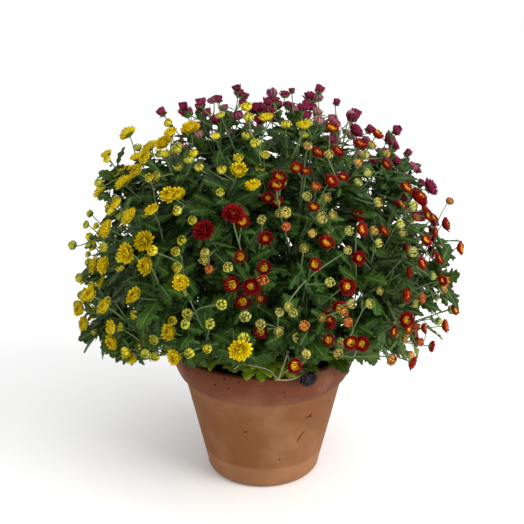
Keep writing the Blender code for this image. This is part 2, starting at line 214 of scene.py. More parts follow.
def fan_in(place):
    """The growing direction that passes through a place, and how far that is from the crown."""
    arm = place - CROWN
    return turned(arm.normalized(), 1 / lean_share(arm.length)), arm.length


class Territories:
    """Shares the room between the stems: each place belongs to the stem that grows nearest."""

    def __init__(self, directions):
        self.directions = directions
        self.walls = [
            [(own - other).normalized() for other in directions if other is not own]
            for own in directions
        ]

    def owner(self, place):
        direction, _ = fan_in(place)
        return max(range(len(self.directions)), key=lambda i: direction.dot(self.directions[i]))

    def room(self, place, own):
        """Distance from a place to the nearest wall of a stem's territory, negative outside it."""
        direction, reach = fan_in(place)
        return reach * min(direction.dot(wall) for wall in self.walls[own])


# The dome of flower heads.


def dome_direction(index, count, rng, jitter):
    """The index-th of count directions spread evenly over the dome, a little closer in front."""
    turn = index * GOLDEN_ANGLE + rng.uniform(-jitter, jitter)
    turn -= FRONT_CROWDING * math.sin(turn - FRONT)
    lowest = SKIRT + SKIRT_FRONT_LIFT * max(0.0, math.cos(turn - FRONT)) ** 2
    share = (index + 0.5 + rng.uniform(-jitter, jitter) * HEIGHT_JITTER) / count
    up = blend(1.0, lowest, min(1.0, max(0.0, share)))
    flat = math.sqrt(1 - up * up)
    return Vector((math.cos(turn) * flat, math.sin(turn) * flat, up))


def dome_place(direction, depth):
    rise = DOME_RISE if direction.z > 0 else DOME_DROP
    offset = Vector((direction.x * DOME_RADIUS, direction.y * DOME_RADIUS, direction.z * rise))
    return DOME_CENTRE + offset * (1 - depth)


def clear_of_pot(place, margin):
    aside = math.hypot(place.x, place.y)
    if place.z > POT_HEIGHT + margin or aside > RIM_RADIUS + margin:
        return True
    return aside < LIP_INNER_RADIUS - margin and place.z > SOIL_LEVEL + margin


def above_underside(place):
    return place.z > UNDERSIDE - UNDERSIDE_SLOPE * min(place.y, 0.0)


def plant_of(outward, rng):
    score = {
        plant: outward.dot(home) + rng.uniform(-PLANT_MIXING, PLANT_MIXING)
        for plant, home in PLANTS.items()
    }
    return max(score, key=score.get)


def pick_head(shares, rng):
    """The kind and radius of the next flower head, from the share of each kind."""
    kind = rng.choices(list(shares), weights=list(shares.values()))[0]
    return kind, rng.uniform(*KINDS[kind]) * MM


def head_axis(outward, rng):
    """The way a head faces: out of the dome, a little upwards, and tilted at random."""
    tilt = Vector((rng.uniform(-1, 1), rng.uniform(-1, 1), rng.uniform(-1, 1)))
    return (outward + Vector((0, 0, HEAD_UPTURN)) + tilt * HEAD_TILT).normalized()


def plan_head(index, plants, territories, placed, rng):
    """A flower head on the dome, moved in towards its stem until it is clear of the others'."""
    outward = dome_direction(index, HEAD_COUNT, rng, HEAD_JITTER)
    place = dome_place(outward, rng.uniform(*HEAD_DEPTH))
    own = territories.owner(place)
    kind, radius = pick_head(SHARES[plants[own]], rng)
    axis = head_axis(outward, rng)
    home = territories.directions[own]
    for _ in range(PLACING_TRIES):
        direction, reach = fan_in(place)
        crowded = any((h.base - place).length < h.radius + radius for h in placed[own])
        if territories.room(place + axis * radius * HEAD_MIDDLE, own) < radius + HEAD_CLEARANCE:
            direction = direction.lerp(home, HOMING).normalized()
        elif crowded:
            reach *= SHORTENING
        elif not clear_of_pot(place, radius + POT_CLEARANCE):
            direction = turned(direction, SHORTENING)
        else:
            placed[own].append(Head(place, axis, radius, kind))
            return
        place = fan_out(direction, reach)


# The course of a stem, where its stalks fork off, and its leaves.


def plan_forks(tip_reach, count):
    """Where the stalks leave the stem: the first, to its end, near the top, and the rest below."""
    top = FORKS_FROM * tip_reach
    spacing = min(FORK_SPACING, (FORKS_FROM - FORKS_TO) * tip_reach / max(1, count - 1))
    return [top - spacing * i for i in range(count)]


def plan_path(direction, top):
    """The stem's course as (reach, place) corners, from its root in the soil to its last fork."""
    reaches = (ROOT_REACH, ABOVE_SOIL, blend(ABOVE_SOIL, top, 0.5), top)
    return [(reach, fan_out(direction, reach)) for reach in reaches]


def on_path(path, reach):
    for (low, start), (high, end) in zip(path, path[1:]):
        if reach <= high:
            break
    return start.lerp(end, (reach - low) / (high - low))


def taken_marks(path, heads, forks):
    """Places that the stalks and heads of a stem hold, with the width to keep clear of each."""
    marks = [
        (head.base + head.axis * head.radius * HEAD_MIDDLE, head.radius + HEAD_ROOM)
        for head in heads
    ]
    for head, fork in zip(heads, forks):
        root = on_path(path, fork)
        steps = max(3, int((head.base - root).length / MARK_STEP))
        marks += [(root.lerp(head.base, i / steps), STALK_ROOM) for i in range(2, steps)]
    return marks


def leaf_point(leaf, share, aside, lift=0.0):
    """A point on an arched leaf: share of the way to its tip, aside from its midrib."""
    side = leaf.along.cross(leaf.face).normalized()
    sag = LEAF_CUP * abs(aside) - LEAF_DROOP * share * share
    flat = leaf.along * share + side * aside + leaf.face * sag
    return leaf.base + flat * leaf.length + leaf.face * lift


def leaf_marks(leaf):
    """Places spread over a leaf, from a little way out along its stalk to its tip."""
    marks = [(eighths / 8, 0.0) for eighths in range(2, 9)]
    for share, aside in LEAF_HALF[1:]:
        marks += [(share, aside * part) for part in (-1.0, -0.5, 0.5, 1.0)]
    return [leaf_point(leaf, share, aside) for share, aside in marks]


def leaf_fits(leaf, territories, own, taken):
    """Whether a leaf stays in its stem's territory and off the pot, stalks, heads and leaves."""
    points = leaf_marks(leaf)
    if not all(above_underside(point) for point in points):
        return False
    if any((point - mark).length < width for point in points for mark, width in taken):
        return False
    return all(
        territories.room(point, own) > LEAF_CLEARANCE and clear_of_pot(point, POT_CLEARANCE)
        for point in points
    )


def leaf_at(base, growth, turn, length, spread):
    """A leaf that leaves a stem at that spread from its growth, turned that far round it."""
    aside = growth.orthogonal().normalized()
    across = aside * math.cos(turn) + growth.cross(aside) * math.sin(turn)
    along = (across * math.sin(spread) + growth * math.cos(spread)).normalized()
    face = (growth - along * growth.dot(along)).normalized()
    return Leaf(base, along, face, length)


def plan_leaf(site, path, territories, own, taken, rng):
    """A leaf on a stem, turned and, if it must be, made smaller until it clears its neighbours."""
    height = LEAF_HIGHEST - LEAF_SITE_STEP * site + rng.uniform(-LEAF_SITE_JITTER, LEAF_SITE_JITTER)
    reach = path[-1][0] * height
    base = on_path(path, reach)
    growth = (on_path(path, reach + 1 * MM) - base).normalized()
    start_turn = site * GOLDEN_ANGLE + own * LEAF_STEM_TURN
    start_turn += rng.uniform(-LEAF_TURN_JITTER, LEAF_TURN_JITTER)
    length = rng.uniform(*LEAF_LENGTHS)
    spread = rng.uniform(*LEAF_SPREADS)
    for shrink in LEAF_SHRINKS:
        for swing in LEAF_SWINGS:
            leaf = leaf_at(base, growth, start_turn + swing, length * shrink, spread)
            if leaf_fits(leaf, territories, own, taken):
                return leaf
    return None


def plan_leaves(path, territories, own, taken, rng):
    leaves = []
    for site in range(LEAF_SITES):
        leaf = plan_leaf(site, path, territories, own, taken, rng)
        if leaf and len(leaves) < LEAVES_PER_STEM:
            leaves.append(leaf)
            taken += [(mark, STALK_ROOM) for mark in leaf_marks(leaf)]
    return leaves


def plan_stems():
    """Every stem with its heads and leaves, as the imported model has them, and the territories."""
    rng = random.Random(SEED)
    outwards = [dome_direction(i, STEM_COUNT, rng, STEM_JITTER) for i in range(STEM_COUNT)]
    plants = [plant_of(outward, rng) for outward in outwards]
    territories = Territories([fan_in(dome_place(outward, 0.0))[0] for outward in outwards])
    placed = [[] for _ in outwards]
    for index in range(HEAD_COUNT):
        plan_head(index, plants, territories, placed, rng)
    stems = []
    number = dict.fromkeys(PLANTS, 0)
    for own, (direction, plant) in enumerate(zip(territories.directions, plants)):
        number[plant] += 1
        heads = sorted(placed[own], key=lambda head: -fan_in(head.base)[0].dot(direction))
        forks = plan_forks(fan_in(heads[0].base)[1], len(heads))
        path = plan_path(direction, forks[0])
        leaves = plan_leaves(path, territories, own, taken_marks(path, heads, forks), rng)
        name = f"stem_{plant}_{number[plant]:02d}"
        stems.append(Stem(name, plant, path, heads, forks, leaves))
    return stems, territories


# Finer foliage than the plan has: leaves up each main stem and small ones on the stalks, as
# (share of the stalk's length, shortest, longest in millimetres). A stem whose top stands at
# the crown's height over the soil has more of them.
FOLIAGE_SEED = 23
FOLIAGE_SITES = 22
FOLIAGE_FROM = 0.36
FOLIAGE_TO = 1.0
FOLIAGE_LENGTHS = (46 * MM, 64 * MM)
FOLIAGE_SPREADS = (math.radians(42), math.radians(78))
FOLIAGE_TURN_JITTER = 0.5
FOLIAGE_TURN_STEP = 0.9
STALK_LEAVES = (
    (0.08, 44, 56), (0.22, 42, 54), (0.36, 38, 50), (0.50, 32, 44), (0.64, 24, 34), (0.78, 12, 20),
)
CROWN_LEAVES = ((0.30, 40, 52), (0.44, 36, 46), (0.58, 30, 40))
CROWN_HEIGHT = 190 * MM
STALK_LEAF_JITTER = 0.08
STALK_LEAF_TURN = 2.4
STALK_STEP = 0.02
SMALL_LEAF = 38 * MM
TERRITORY_SLACK = 14 * MM
LEAF_FREE = 2 * MM
BOX_FREE = 1 * MM
# Leaves at the front that start this near the soil are yellow-green, by these shares.
LIP_ZONE = 70 * MM
LIP_YOUTHS = (0.2, 0.8)

# Smaller heads in the gaps between the planned ones: how many places are tried, how deep they
# lie in the dome, how often a place is used, their kinds, where along a neighbour's stalk
# theirs may start, and how steeply it should leave.
SIDE_SEED = 5
SIDE_PLACES = 780
SIDE_DEPTH = (0.0, 0.20)
SIDE_GAP = 1.5 * MM
SIDE_CHANCE = {"yellow": 0.45, "red": 0.4, "purple": 1.0}
SIDE_SHARES = {
    "yellow": {"cup": 0.14, "button": 0.24, "bud": 0.62},
    "red": {"cup": 0.20, "button": 0.20, "bud": 0.60},
    "purple": {"open": 0.14, "cup": 0.46, "button": 0.24, "bud": 0.16},
}
SIDE_FORKS = (0.1, 0.25, 0.4, 0.55, 0.7)
SIDE_STALK = 0.7
SIDE_COST = 3
SIDE_BOX_SHARE = 1.1
# The share of a plant's buttons that have already opened to small cups.
OPENED_BUTTONS = {"yellow": 0.12, "red": 0.62, "purple": 0.35}
# A closed head is drawn a little smaller than the round one it stands for.
DRAWN_SHARE = {"open": 1.0, "cup": 1.0, "button": 0.80, "bud": 0.90}
# The purple heads stand more upright and closed, so they are drawn longer, unless they are
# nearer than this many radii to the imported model's limits.
PLANT_SHARE = {"yellow": 1.0, "red": 1.0, "purple": 1.18}
BOX_ROOM = 1.5

# A leaf's outline in full, each row of its sheet as (share of its length, half width), and the
# plainer outline of a small leaf. Lobes sweep towards the tip.
LEAF_OUTLINE = (
    (0.0, 0.014), (0.13, 0.013), (0.23, 0.04), (0.29, 0.18), (0.33, 0.165), (0.385, 0.275),
    (0.43, 0.235), (0.475, 0.125), (0.53, 0.19), (0.565, 0.175), (0.635, 0.30), (0.68, 0.262),
    (0.725, 0.14), (0.775, 0.175), (0.83, 0.17), (0.88, 0.10), (0.93, 0.092), (1.0, 0.0),
)
SMALL_LEAF_OUTLINE = (
    (0.0, 0.02), (0.22, 0.03), (0.38, 0.19), (0.48, 0.11), (0.64, 0.21), (0.76, 0.11),
    (0.88, 0.10), (1.0, 0.0),
)
LARGE_LEAF = 50 * MM
LARGE_LEAF_COLUMNS = 4
LEAF_COLUMNS = 2
LEAF_SWEEP = 0.20
LEAF_BODY = 0.5 * MM
LEAF_WAVE = 0.022
LEAF_FOLD = 0.16
LEAF_WAVES = (2.2, 3.4)
LEAF_SIDE_PHASE = 1.7
LEAF_WAVY_FROM = 1 / 6
LEAF_UNEVEN = (0.84, 1.12)
LEAF_ROLL = 0.10

# Whorls of petals for each kind of head, outermost first, in shares of the head's radius.
# lean is the angle from the head's axis at the root, and curl how far the petal then turns
# outwards, or inwards where it is negative, both in degrees.
Whorl = namedtuple("Whorl", "count length lean curl width")
WHORLS = {
    "open": (
        Whorl(15, 0.84, 80, -24, 0.215), Whorl(14, 0.85, 66, -28, 0.205),
        Whorl(12, 0.84, 50, -28, 0.190), Whorl(9, 0.80, 36, -30, 0.170),
        Whorl(6, 0.72, 20, -36, 0.145),
    ),
    "cup": (
        Whorl(13, 0.98, 68, -38, 0.255), Whorl(12, 0.92, 58, -50, 0.245),
        Whorl(9, 0.90, 70, -116, 0.240), Whorl(6, 0.80, 58, -118, 0.225),
        Whorl(4, 0.66, 30, -90, 0.200),
    ),
    "button": (
        Whorl(10, 1.30, 76, -98, 0.350), Whorl(8, 1.24, 64, -108, 0.330),
        Whorl(5, 1.14, 44, -100, 0.300), Whorl(3, 1.02, 20, -70, 0.270),
    ),
    "bud": (Whorl(8, 2.45, 86, -160, 0.50), Whorl(3, 2.15, 50, -110, 0.44)),
}
BRACTS = {
    "open": (Whorl(10, 0.42, 84, -20, 0.110),),
    "cup": (Whorl(9, 0.56, 88, -50, 0.150),),
    "button": (Whorl(8, 0.70, 88, -62, 0.200),),
    "bud": (Whorl(6, 1.05, 90, -62, 0.300), Whorl(6, 1.30, 88, -72, 0.240)),
}
# The first whorl that takes the heart's colour, how far that varies from head to head, and how
# much more closed than these forms each plant's heads are, in degrees.
HEART_FROM = {"open": 4.4, "cup": 2.4, "button": 1.6, "bud": 1.0}
HEART_SPREAD = 0.7
CLOSING = {"yellow": 2, "red": 0, "purple": 28}
PETAL_ROWS = {"open": 3, "cup": 3, "button": 3, "bud": 4}
PETAL_COLUMNS = 2
BRACT_ROWS = 2
PETAL_BODY = 0.25 * MM
PETAL_CUP = {"open": 0.5, "cup": 0.4, "button": 0.2, "bud": 0.15}
PETAL_ROOT_WIDTH = 0.45
PETAL_WIDEST = 0.62
PETAL_TAPER = 0.36
PETAL_TAPER_FROM = 0.74
PETAL_TIP_ROUNDING = 0.12
WHORL_TURN = GOLDEN_ANGLE * 0.1
PETAL_TURN_JITTER = 0.16
PETAL_LEAN_JITTER = 6
PETAL_CURL_JITTER = 9
PETAL_LENGTHS = (0.90, 1.06)
PETAL_WIDTHS = (0.9, 1.08)
PETAL_TWIST = 0.22
PETAL_TONE_JITTER = 0.08
BRACT_CUP = 0.3
BRACT_ROOT_SHARE = 0.55
BRACT_TURN = 0.4
ROOT_RADIUS = 0.28
ROOT_NARROWS = 0.6
ROOT_HEIGHT = 0.16
ROOT_CLIMB = 0.14
YOUTH = {"open": 0.0, "cup": 0.0, "button": 0.95, "bud": 1.0}
YOUTH_SPREAD = (0.75, 1.15)
CLOSING_SPREAD = (0.5, 1.5)
OPEN_TONES = (0.75, 1.0)

# Stems and stalks as drawn: sides and rows, radius at the root and at the top, how far a stalk
# bows, and the receptacle that it swells into under its head, in shares of the head's radius.
ASIDE = Vector((0.31, 0.95, 0.05))
STEM_DRAWN = (8, 14)
STEM_DRAWN_RADIUS = (2.3 * MM, 1.35 * MM)
STEM_STEP = 2 * MM
FORK_STEP = 4 * MM
STALK_DRAWN = (6, 7)
STALK_DRAWN_RADIUS = (0.95 * MM, 0.68 * MM)
STALK_BOW = (0.55, 0.35)
STALK_SHARE = 0.86
RECEPTACLE_HEIGHT = 0.16
RECEPTACLE_RADIUS = 0.34

# The pot and the soil's surface as turned, the soil's lumps as (how many to a metre, height),
# its heap round the crown, and what is strewn on it.
POT_STEPS = 144
POT_SHARP = math.radians(35)
SOIL_STEPS = 120
SOIL_RINGS = 30
SOIL_PLUG = 14 * MM
SOIL_GAP = 0.4 * MM
SOIL_SINKS = 2.5 * MM
SOIL_LUMPS = ((55, 3.2 * MM), (170, 1.8 * MM), (420, 0.9 * MM))
HEAP_HEIGHT = 3 * MM
HEAP_RADIUS = 70 * MM
CRUMBS = 520
SMALLEST_CRUMB = 0.8 * MM
CRUMB_FREE = 5 * MM
CRUMB_SQUASH = (0.7, 1.2)
CRUMB_HEIGHT = 0.7
CRUMB_LIES = 0.2
CRUMB_TURNS = (0, 6.28)
PERLITE = 46
PERLITE_SIZES = (0.7 * MM, 1.5 * MM)

# Young shoots at the pot's lip: the place of each root on the soil, its bend and its tip, the
# tip of the leaf that it ends in, all in millimetres, and how yellow-green that leaf is.
SHOOTS = (
    ((-12, -34), (-26, -50, 176), (-38, -58, 180), (-78, -46, 176), 0.75),
    ((4, -38), (0, -50, 180), (-4, -62, 188), (7, -118, 190), 0.95),
    ((14, -46), (12, -66, 182), (10, -88, 188), (36, -122, 188), 0.85),
    ((-8, -44), (-12, -62, 176), (-18, -80, 182), (-35, -108, 186), 0.40),
    ((40, -44), (54, -56, 184), (70, -66, 194), (96, -118, 194), 0.10),
    ((24, -50), (22, -62, 184), (18, -74, 190), (-14, -106, 192), 0.90),
    ((-30, -40), (-42, -54, 176), (-50, -66, 180), (-34, -104, 186), 0.55),
    ((30, -48), (36, -62, 180), (42, -74, 186), (66, -101, 182), 0.25),
    ((-2, -46), (-6, -58, 180), (-8, -70, 186), (-20, -115, 182), 0.85),
    ((10, -40), (20, -52, 182), (26, -62, 188), (30, -112, 184), 0.70),
    ((50, -36), (62, -44, 182), (70, -50, 190), (104, -84, 192), 0.05),
    ((34, -40), (44, -50, 182), (52, -60, 188), (54, -103, 184), 0.15),
    ((-4, -44), (-6, -60, 178), (-6, -78, 184), (-2, -118, 180), 0.60),
    ((20, -44), (24, -58, 180), (26, -76, 186), (15, -117, 181), 0.90),
    ((32, -36), (38, -54, 180), (42, -72, 186), (40, -110, 180), 0.35),
    ((-44, -34), (-54, -46, 176), (-58, -60, 182), (-64, -95, 182), 0.80),
)
SHOOT_RADIUS = (1.2 * MM, 0.7 * MM)
# A dried stem that lies over the lip: its course in millimetres, and its side branches, the
# first of which is rooted in the soil.
DRIED_STEM = (
    (-36, -103, 180), (-26, -105, 188), (-8, -109, 188), (7, -112, 184), (13, -117, 180),
    (17, -121, 176),
)
DRIED_BRANCHES = (
    ((-8, -109, 188), (-16, -88, 194), (-24, -56, 184), (-26, -40, 158)),
    ((17, -121, 176), (23, -115, 192), (29, -109, 208)),
    ((17, -121, 176), (20, -115, 180), (31, -112, 186), (63, -103, 200)),
    ((17, -121, 176), (30, -120, 176), (39, -118, 178), (46, -114, 180)),
)
DRIED_RADIUS = (1.0 * MM, 0.7 * MM)
# A withered head that hangs over the lip.
WITHERED_BASE = Vector((49, -110, 179)) * MM
WITHERED_AXIS = Vector((0.35, -0.85, -0.35)).normalized()
WITHERED_RADIUS = 12 * MM
WITHERED_ROOT = Vector((30, -84, 170)) * MM
# Crumbs and rootlets dried onto the pot's outside: (degrees round from the front, height,
# length, half width, lean from level in degrees, bow), lengths in millimetres.
FLAKES = (
    (35.5, 106, 12, 1.0, 19, -0.8), (37.5, 104, 5, 0.8, -40, 0), (32, 76, 21, 0.8, 60, 2.0),
    (-14, 90, 4.6, 1.0, 30, 0), (14, 46, 2.6, 1.2, 10, 0), (-30, 159, 3, 1.3, 60, 0),
    (-21, 158, 3.4, 0.9, -12, 0), (-24, 169, 4, 0.9, 25, 0.4), (-15, 168, 2.4, 0.9, 0, 0),
    (-64, 140, 2.6, 1.0, 0, 0), (12, 156, 2.2, 0.9, 20, 0), (13, 148, 2.2, 0.8, 70, 0),
    (9, 143, 1.6, 0.7, 0, 0), (-3, 165, 1.6, 0.6, 0, 0), (48, 162, 2.4, 1.0, 0, 0),
    (38, 154, 6.5, 0.5, 75, 0.8), (-56, 166, 11, 0.45, -78, 0.6), (-53, 164, 3, 0.8, 40, 0),
    (128, 88, 6, 0.6, 35, 0.9), (171, 152, 2.8, 1.0, 15, 0), (-118, 61, 2.4, 0.9, 0, 0),
    (-140, 158, 3.2, 0.8, -25, 0), (95, 150, 2.2, 0.9, 50, 0), (-97, 112, 8, 0.5, 48, -1.2),
)
# How far a crumb's middle stands off the clay, and half its thickness.
FLAKE_STANDS = (0.1 * MM, 0.25 * MM)
# How many petals have dropped on the soil, their size, how far from the lip they keep, how high
# they lie and how much they curl.
FALLEN = 26
FALLEN_LENGTH = 9 * MM
FALLEN_HALF_WIDTH = 1.6 * MM
FALLEN_FREE = 8 * MM
FALLEN_LIES = 1.6 * MM
FALLEN_CURLS = (0.8, 2.2)


def linear(code):
    """A colour written as sRGB hex, turned to linear."""
    levels = [int(code[i : i + 2], 16) / 255 for i in (1, 3, 5)]
    return tuple(v / 12.92 if v <= 0.04045 else ((v + 0.055) / 1.055) ** 2.4 for v in levels)


def tint(name, description, code):
    return bpy.props.FloatVectorProperty(
        name=name, description=description, subtype="COLOR", min=0, max=1, default=linear(code)
    )


class MumPlantSettings(bpy.types.PropertyGroup):
    """Colours of the sprays, and how many leaves are added up each stem."""

    yellow_face: tint("Yellow face", "Inner side of the yellow plant's petals", "#f6d80a")
    yellow_heart: tint("Yellow heart", "Petals at the middle of a yellow head", "#f2b206")
    yellow_back: tint("Yellow back", "Outer side of the yellow plant's petals", "#f2d414")
    red_face: tint("Red face", "Inner side of the red plant's petals", "#86060e")
    red_heart: tint("Red heart", "Petals at the middle of a red head", "#b4280c")
    red_back: tint("Red back", "Outer side of the red plant's petals", "#f0b41e")
    purple_face: tint("Purple face", "Inner side of the purple plant's petals", "#7a1638")
    purple_heart: tint("Purple heart", "Petals at the middle of a purple head", "#861a40")
    purple_back: tint("Purple back", "Outer side of the purple plant's petals", "#8a284c")
    leaf_top: tint("Leaf", "Upper side of the leaves", "#243e0c")
    leaf_under: tint("Leaf underside", "Lower side of the leaves", "#466024")
    stem: tint("Stem", "Stems and stalks", "#5a723c")
    bract: tint("Bract", "Green scales under each head", "#4c6a24")
    foliage: bpy.props.IntProperty(
        name="Leaves", description="Leaves added up each stem", default=FOLIAGE_SITES, min=0, max=30
    )


class MumPotSettings(bpy.types.PropertyGroup):
    """Colours of the clay and the potting mix, and the crumbs on it."""

    body: tint("Body", "Fired clay of the pot's body", "#764821")
    # The collar's colour is redder clay, also darkened with painted shade from the foliage above
    # it.
    rim: tint("Rim", "Redder clay of the collar", "#633116")
    soil: tint("Soil", "Moist potting mix", "#1d1611")
    crumbs: bpy.props.IntProperty(
        name="Crumbs", description="Loose lumps on the soil", default=CRUMBS, min=0, max=2000
    )
    crumb_size: bpy.props.FloatProperty(
        name="Crumb size",
        description="Radius of the largest crumb",
        default=2.6 * MM,
        min=0.5 * MM,
        max=6 * MM,
        unit="LENGTH",
    )


class MumStageSettings(bpy.types.PropertyGroup):
    """The camera's place and the floor."""

    distance: bpy.props.FloatProperty(
        name="Distance", description="Camera to the pot's axis, level", default=1.2, unit="LENGTH"
    )
    height: bpy.props.FloatProperty(
        name="Height", description="Camera above the floor", default=0.706, unit="LENGTH"
    )
    pitch: bpy.props.FloatProperty(
        name="Pitch",
        description="How far the camera looks down",
        default=math.radians(19.6),
        unit="ROTATION",
    )
    lens: bpy.props.FloatProperty(
        name="Lens", description="Focal length", default=70.5, unit="CAMERA"
    )
    floor: tint("Floor", "Pale floor of the studio", "#ffffff")


# Blanks: flat sheets and straight rods that every petal, leaf and stalk is bent from. Their
# points carry three marks for the materials: how far in a petal's whorl lies, how light the
# piece is among its like, and how young.


MARKS = ("layer", "tone", "youth")


def marked_bmesh():
    """An empty bmesh with the layers that the blanks and the materials need."""
    bm = bmesh.new()
    bm.loops.layers.uv.new("UVMap")
    for mark in MARKS:
        bm.verts.layers.float.new(mark)
    return bm


def sheet_blank(name, columns, rows, slots):
    """A closed sheet: x from -1 to 1 across it, y from 0 to 1 along it, z 1 on its face and -1
    on its back, and 0 on the border that the two share."""
    bm = marked_bmesh()
    bmesh.ops.create_grid(bm, x_segments=columns, y_segments=rows, size=0.5, calc_uvs=True)
    for vert in bm.verts:
        vert.co = (vert.co.x * 2, vert.co.y + 0.5, 0 if vert.is_boundary else 1)
    copied = bmesh.ops.duplicate(bm, geom=bm.verts[:] + bm.edges[:] + bm.faces[:])["geom"]
    back = [part for part in copied if isinstance(part, bmesh.types.BMFace)]
    for vert in {vert for face in back for vert in face.verts}:
        vert.co.z = -vert.co.z
    bmesh.ops.reverse_faces(bm, faces=back)
    for face in bm.faces:
        face.smooth = True
        face.material_index = slots[0]
    for face in back:
        face.material_index = slots[1]
    border = [vert for vert in bm.verts if vert.is_boundary]
    bmesh.ops.remove_doubles(bm, verts=border, dist=1e-5)
    return bmesh_to_mesh(bm, name)


def rod_blank(name, sides, rows, slot):
    """A closed rod: x and y on the unit circle, z from 0 to 1 along it."""
    bm = marked_bmesh()
    bmesh.ops.create_cone(
        bm, cap_ends=True, segments=sides, radius1=1, radius2=1, depth=1, calc_uvs=True
    )
    lengthwise = [edge for edge in bm.edges if abs(edge.verts[0].co.z - edge.verts[1].co.z) > 0.5]
    bmesh.ops.subdivide_edges(bm, edges=lengthwise, cuts=rows - 1, use_grid_fill=True)
    bmesh.ops.translate(bm, verts=bm.verts, vec=(0, 0, 0.5))
    for face in bm.faces:
        face.smooth = len(face.verts) == 4
        face.material_index = slot
    return bmesh_to_mesh(bm, name)


def bmesh_to_mesh(bm, name):
    mesh = bpy.data.meshes.new(name)
    bm.to_mesh(mesh)
    bm.free()
    return mesh


def lay(bm, blank, place, layer=0.0, tone=0.5, youth=0.0):
    """Adds a copy of a blank, with each point where place puts it and marked for the materials."""
    known = len(bm.verts)
    bm.from_mesh(blank)
    bm.verts.ensure_lookup_table()
    layers = [bm.verts.layers.float[mark] for mark in MARKS]
    for vert in bm.verts[known:]:
        vert.co = place(*vert.co)
        for mark, value in zip(layers, (layer, tone, youth)):
            vert[mark] = value


def round_rod(growth, x, y):
    """The way from the middle of a rod that grows in a direction to a point on its skin."""
    side = growth.cross(ASIDE).normalized()
    return side * x + growth.cross(side) * y


# Materials: the shader's sockets by short name, and the settings of the two kinds of mix.


SHADER_SOCKETS = {
    "rough": "Roughness", "ior": "IOR", "specular": "Specular IOR Level", "sheen": "Sheen Weight",
}
MIXED = {"data_type": "RGBA", "blend_type": "MIX"}
MULTIPLIED = {"data_type": "RGBA", "blend_type": "MULTIPLY"}


def add_node(tree, kind, inputs=None, stops=None, **settings):
    """Adds a node. inputs maps its sockets to values or to the sockets that feed them, and stops
    are a ramp's (place, colour) pairs."""
    node = tree.nodes.new(kind)
    for name, value in settings.items():
        setattr(node, name, value)
    for socket, value in (inputs or {}).items():
        if isinstance(value, bpy.types.NodeSocket):
            tree.links.new(value, node.inputs[socket])
        else:
            node.inputs[socket].default_value = value
    if stops:
        elements = node.color_ramp.elements
        while len(elements) < len(stops):
            elements.new(0.5)
        for element, (place, colour) in zip(elements, stops):
            element.position = place
            element.color = (*colour, 1.0)
    return node


def new_material(name):
    """An empty procedural material, with its tree and its shader."""
    made = bpy.data.materials.new(name)
    made.use_nodes = True
    shader = made.node_tree.nodes["Principled BSDF"]
    return made, made.node_tree, shader


def opaque(colour):
    return (*colour, 1.0)


def finish_shader(tree, shader, colour, bump, **values):
    """Feeds a shader its colour and bump, and sets the values that are the same all over."""
    tree.links.new(colour, shader.inputs["Base Color"])
    tree.links.new(bump.outputs[0], shader.inputs["Normal"])
    for name, value in values.items():
        shader.inputs[SHADER_SOCKETS[name]].default_value = value


# How high above the soil a stem is woody, how deep a petal's veins are and how dark the
# darkest head is.
WOODY_HEIGHT = 50 * MM
PETAL_VEINS = 0.25
DARKEST_HEAD = 0.8


def petal_material(name, face, heart, young):
    """Living petal: soft, nearly matte skin with fine veins along its length. Its colour runs
    from the outer whorls to the heart. A young petal takes the two young shades, and keeps them
    longest at its root."""
    made, tree, shader = new_material(name)
    layer, tone, youth = (
        add_node(tree, "ShaderNodeAttribute", attribute_name=mark).outputs["Fac"] for mark in MARKS
    )
    uv = add_node(tree, "ShaderNodeTexCoord").outputs["UV"]
    split = add_node(tree, "ShaderNodeSeparateXYZ", {0: uv})
    inward = add_node(tree, "ShaderNodeMix", {0: layer, 6: opaque(face), 7: opaque(heart)}, **MIXED)
    # Each head a little lighter or darker than the next.
    spread = add_node(
        tree, "ShaderNodeMapRange", {"Value": tone, "To Min": DARKEST_HEAD, "To Max": 1.1}
    ).outputs[0]
    toned = add_node(tree, "ShaderNodeMix", {0: 1.0, 6: inward.outputs[2], 7: spread}, **MULTIPLIED)
    # Seven veins across a petal 3 mm wide.
    across = add_node(tree, "ShaderNodeMath", {0: split.outputs[0], 1: 44.0}, operation="MULTIPLY")
    wave = add_node(tree, "ShaderNodeMath", {0: across.outputs[0]}, operation="SINE")
    vein = add_node(
        tree,
        "ShaderNodeMapRange",
        {"Value": wave.outputs[0], "From Min": -1.0, "To Min": 1.0 - PETAL_VEINS, "To Max": 1.0},
    ).outputs[0]
    veined = add_node(tree, "ShaderNodeMix", {0: 1.0, 6: toned.outputs[2], 7: vein}, **MULTIPLIED)
    root = add_node(
        tree,
        "ShaderNodeMapRange",
        {"Value": split.outputs[1], "From Min": 0.0, "From Max": 0.9, "To Min": 1.0, "To Max": 0.6},
    ).outputs[0]
    green = add_node(
        tree, "ShaderNodeMath", {0: root, 1: youth}, operation="MULTIPLY", use_clamp=True
    )
    blushed = add_node(
        tree, "ShaderNodeMapRange", {"Value": tone, "From Min": 0.68, "From Max": 0.84}
    ).outputs[0]
    shade = add_node(
        tree, "ShaderNodeMix", {0: blushed, 6: opaque(young[0]), 7: opaque(young[1])}, **MIXED
    )
    inputs = {0: green.outputs[0], 6: veined.outputs[2], 7: shade.outputs[2]}
    fresh = add_node(tree, "ShaderNodeMix", inputs, **MIXED)
    bump = add_node(
        tree, "ShaderNodeBump", {"Strength": 0.25, "Distance": 0.2 * MM, "Height": wave.outputs[0]}
    )
    finish_shader(tree, shader, fresh.outputs[2], bump, rough=0.55, ior=1.42, specular=0.15)
    return made


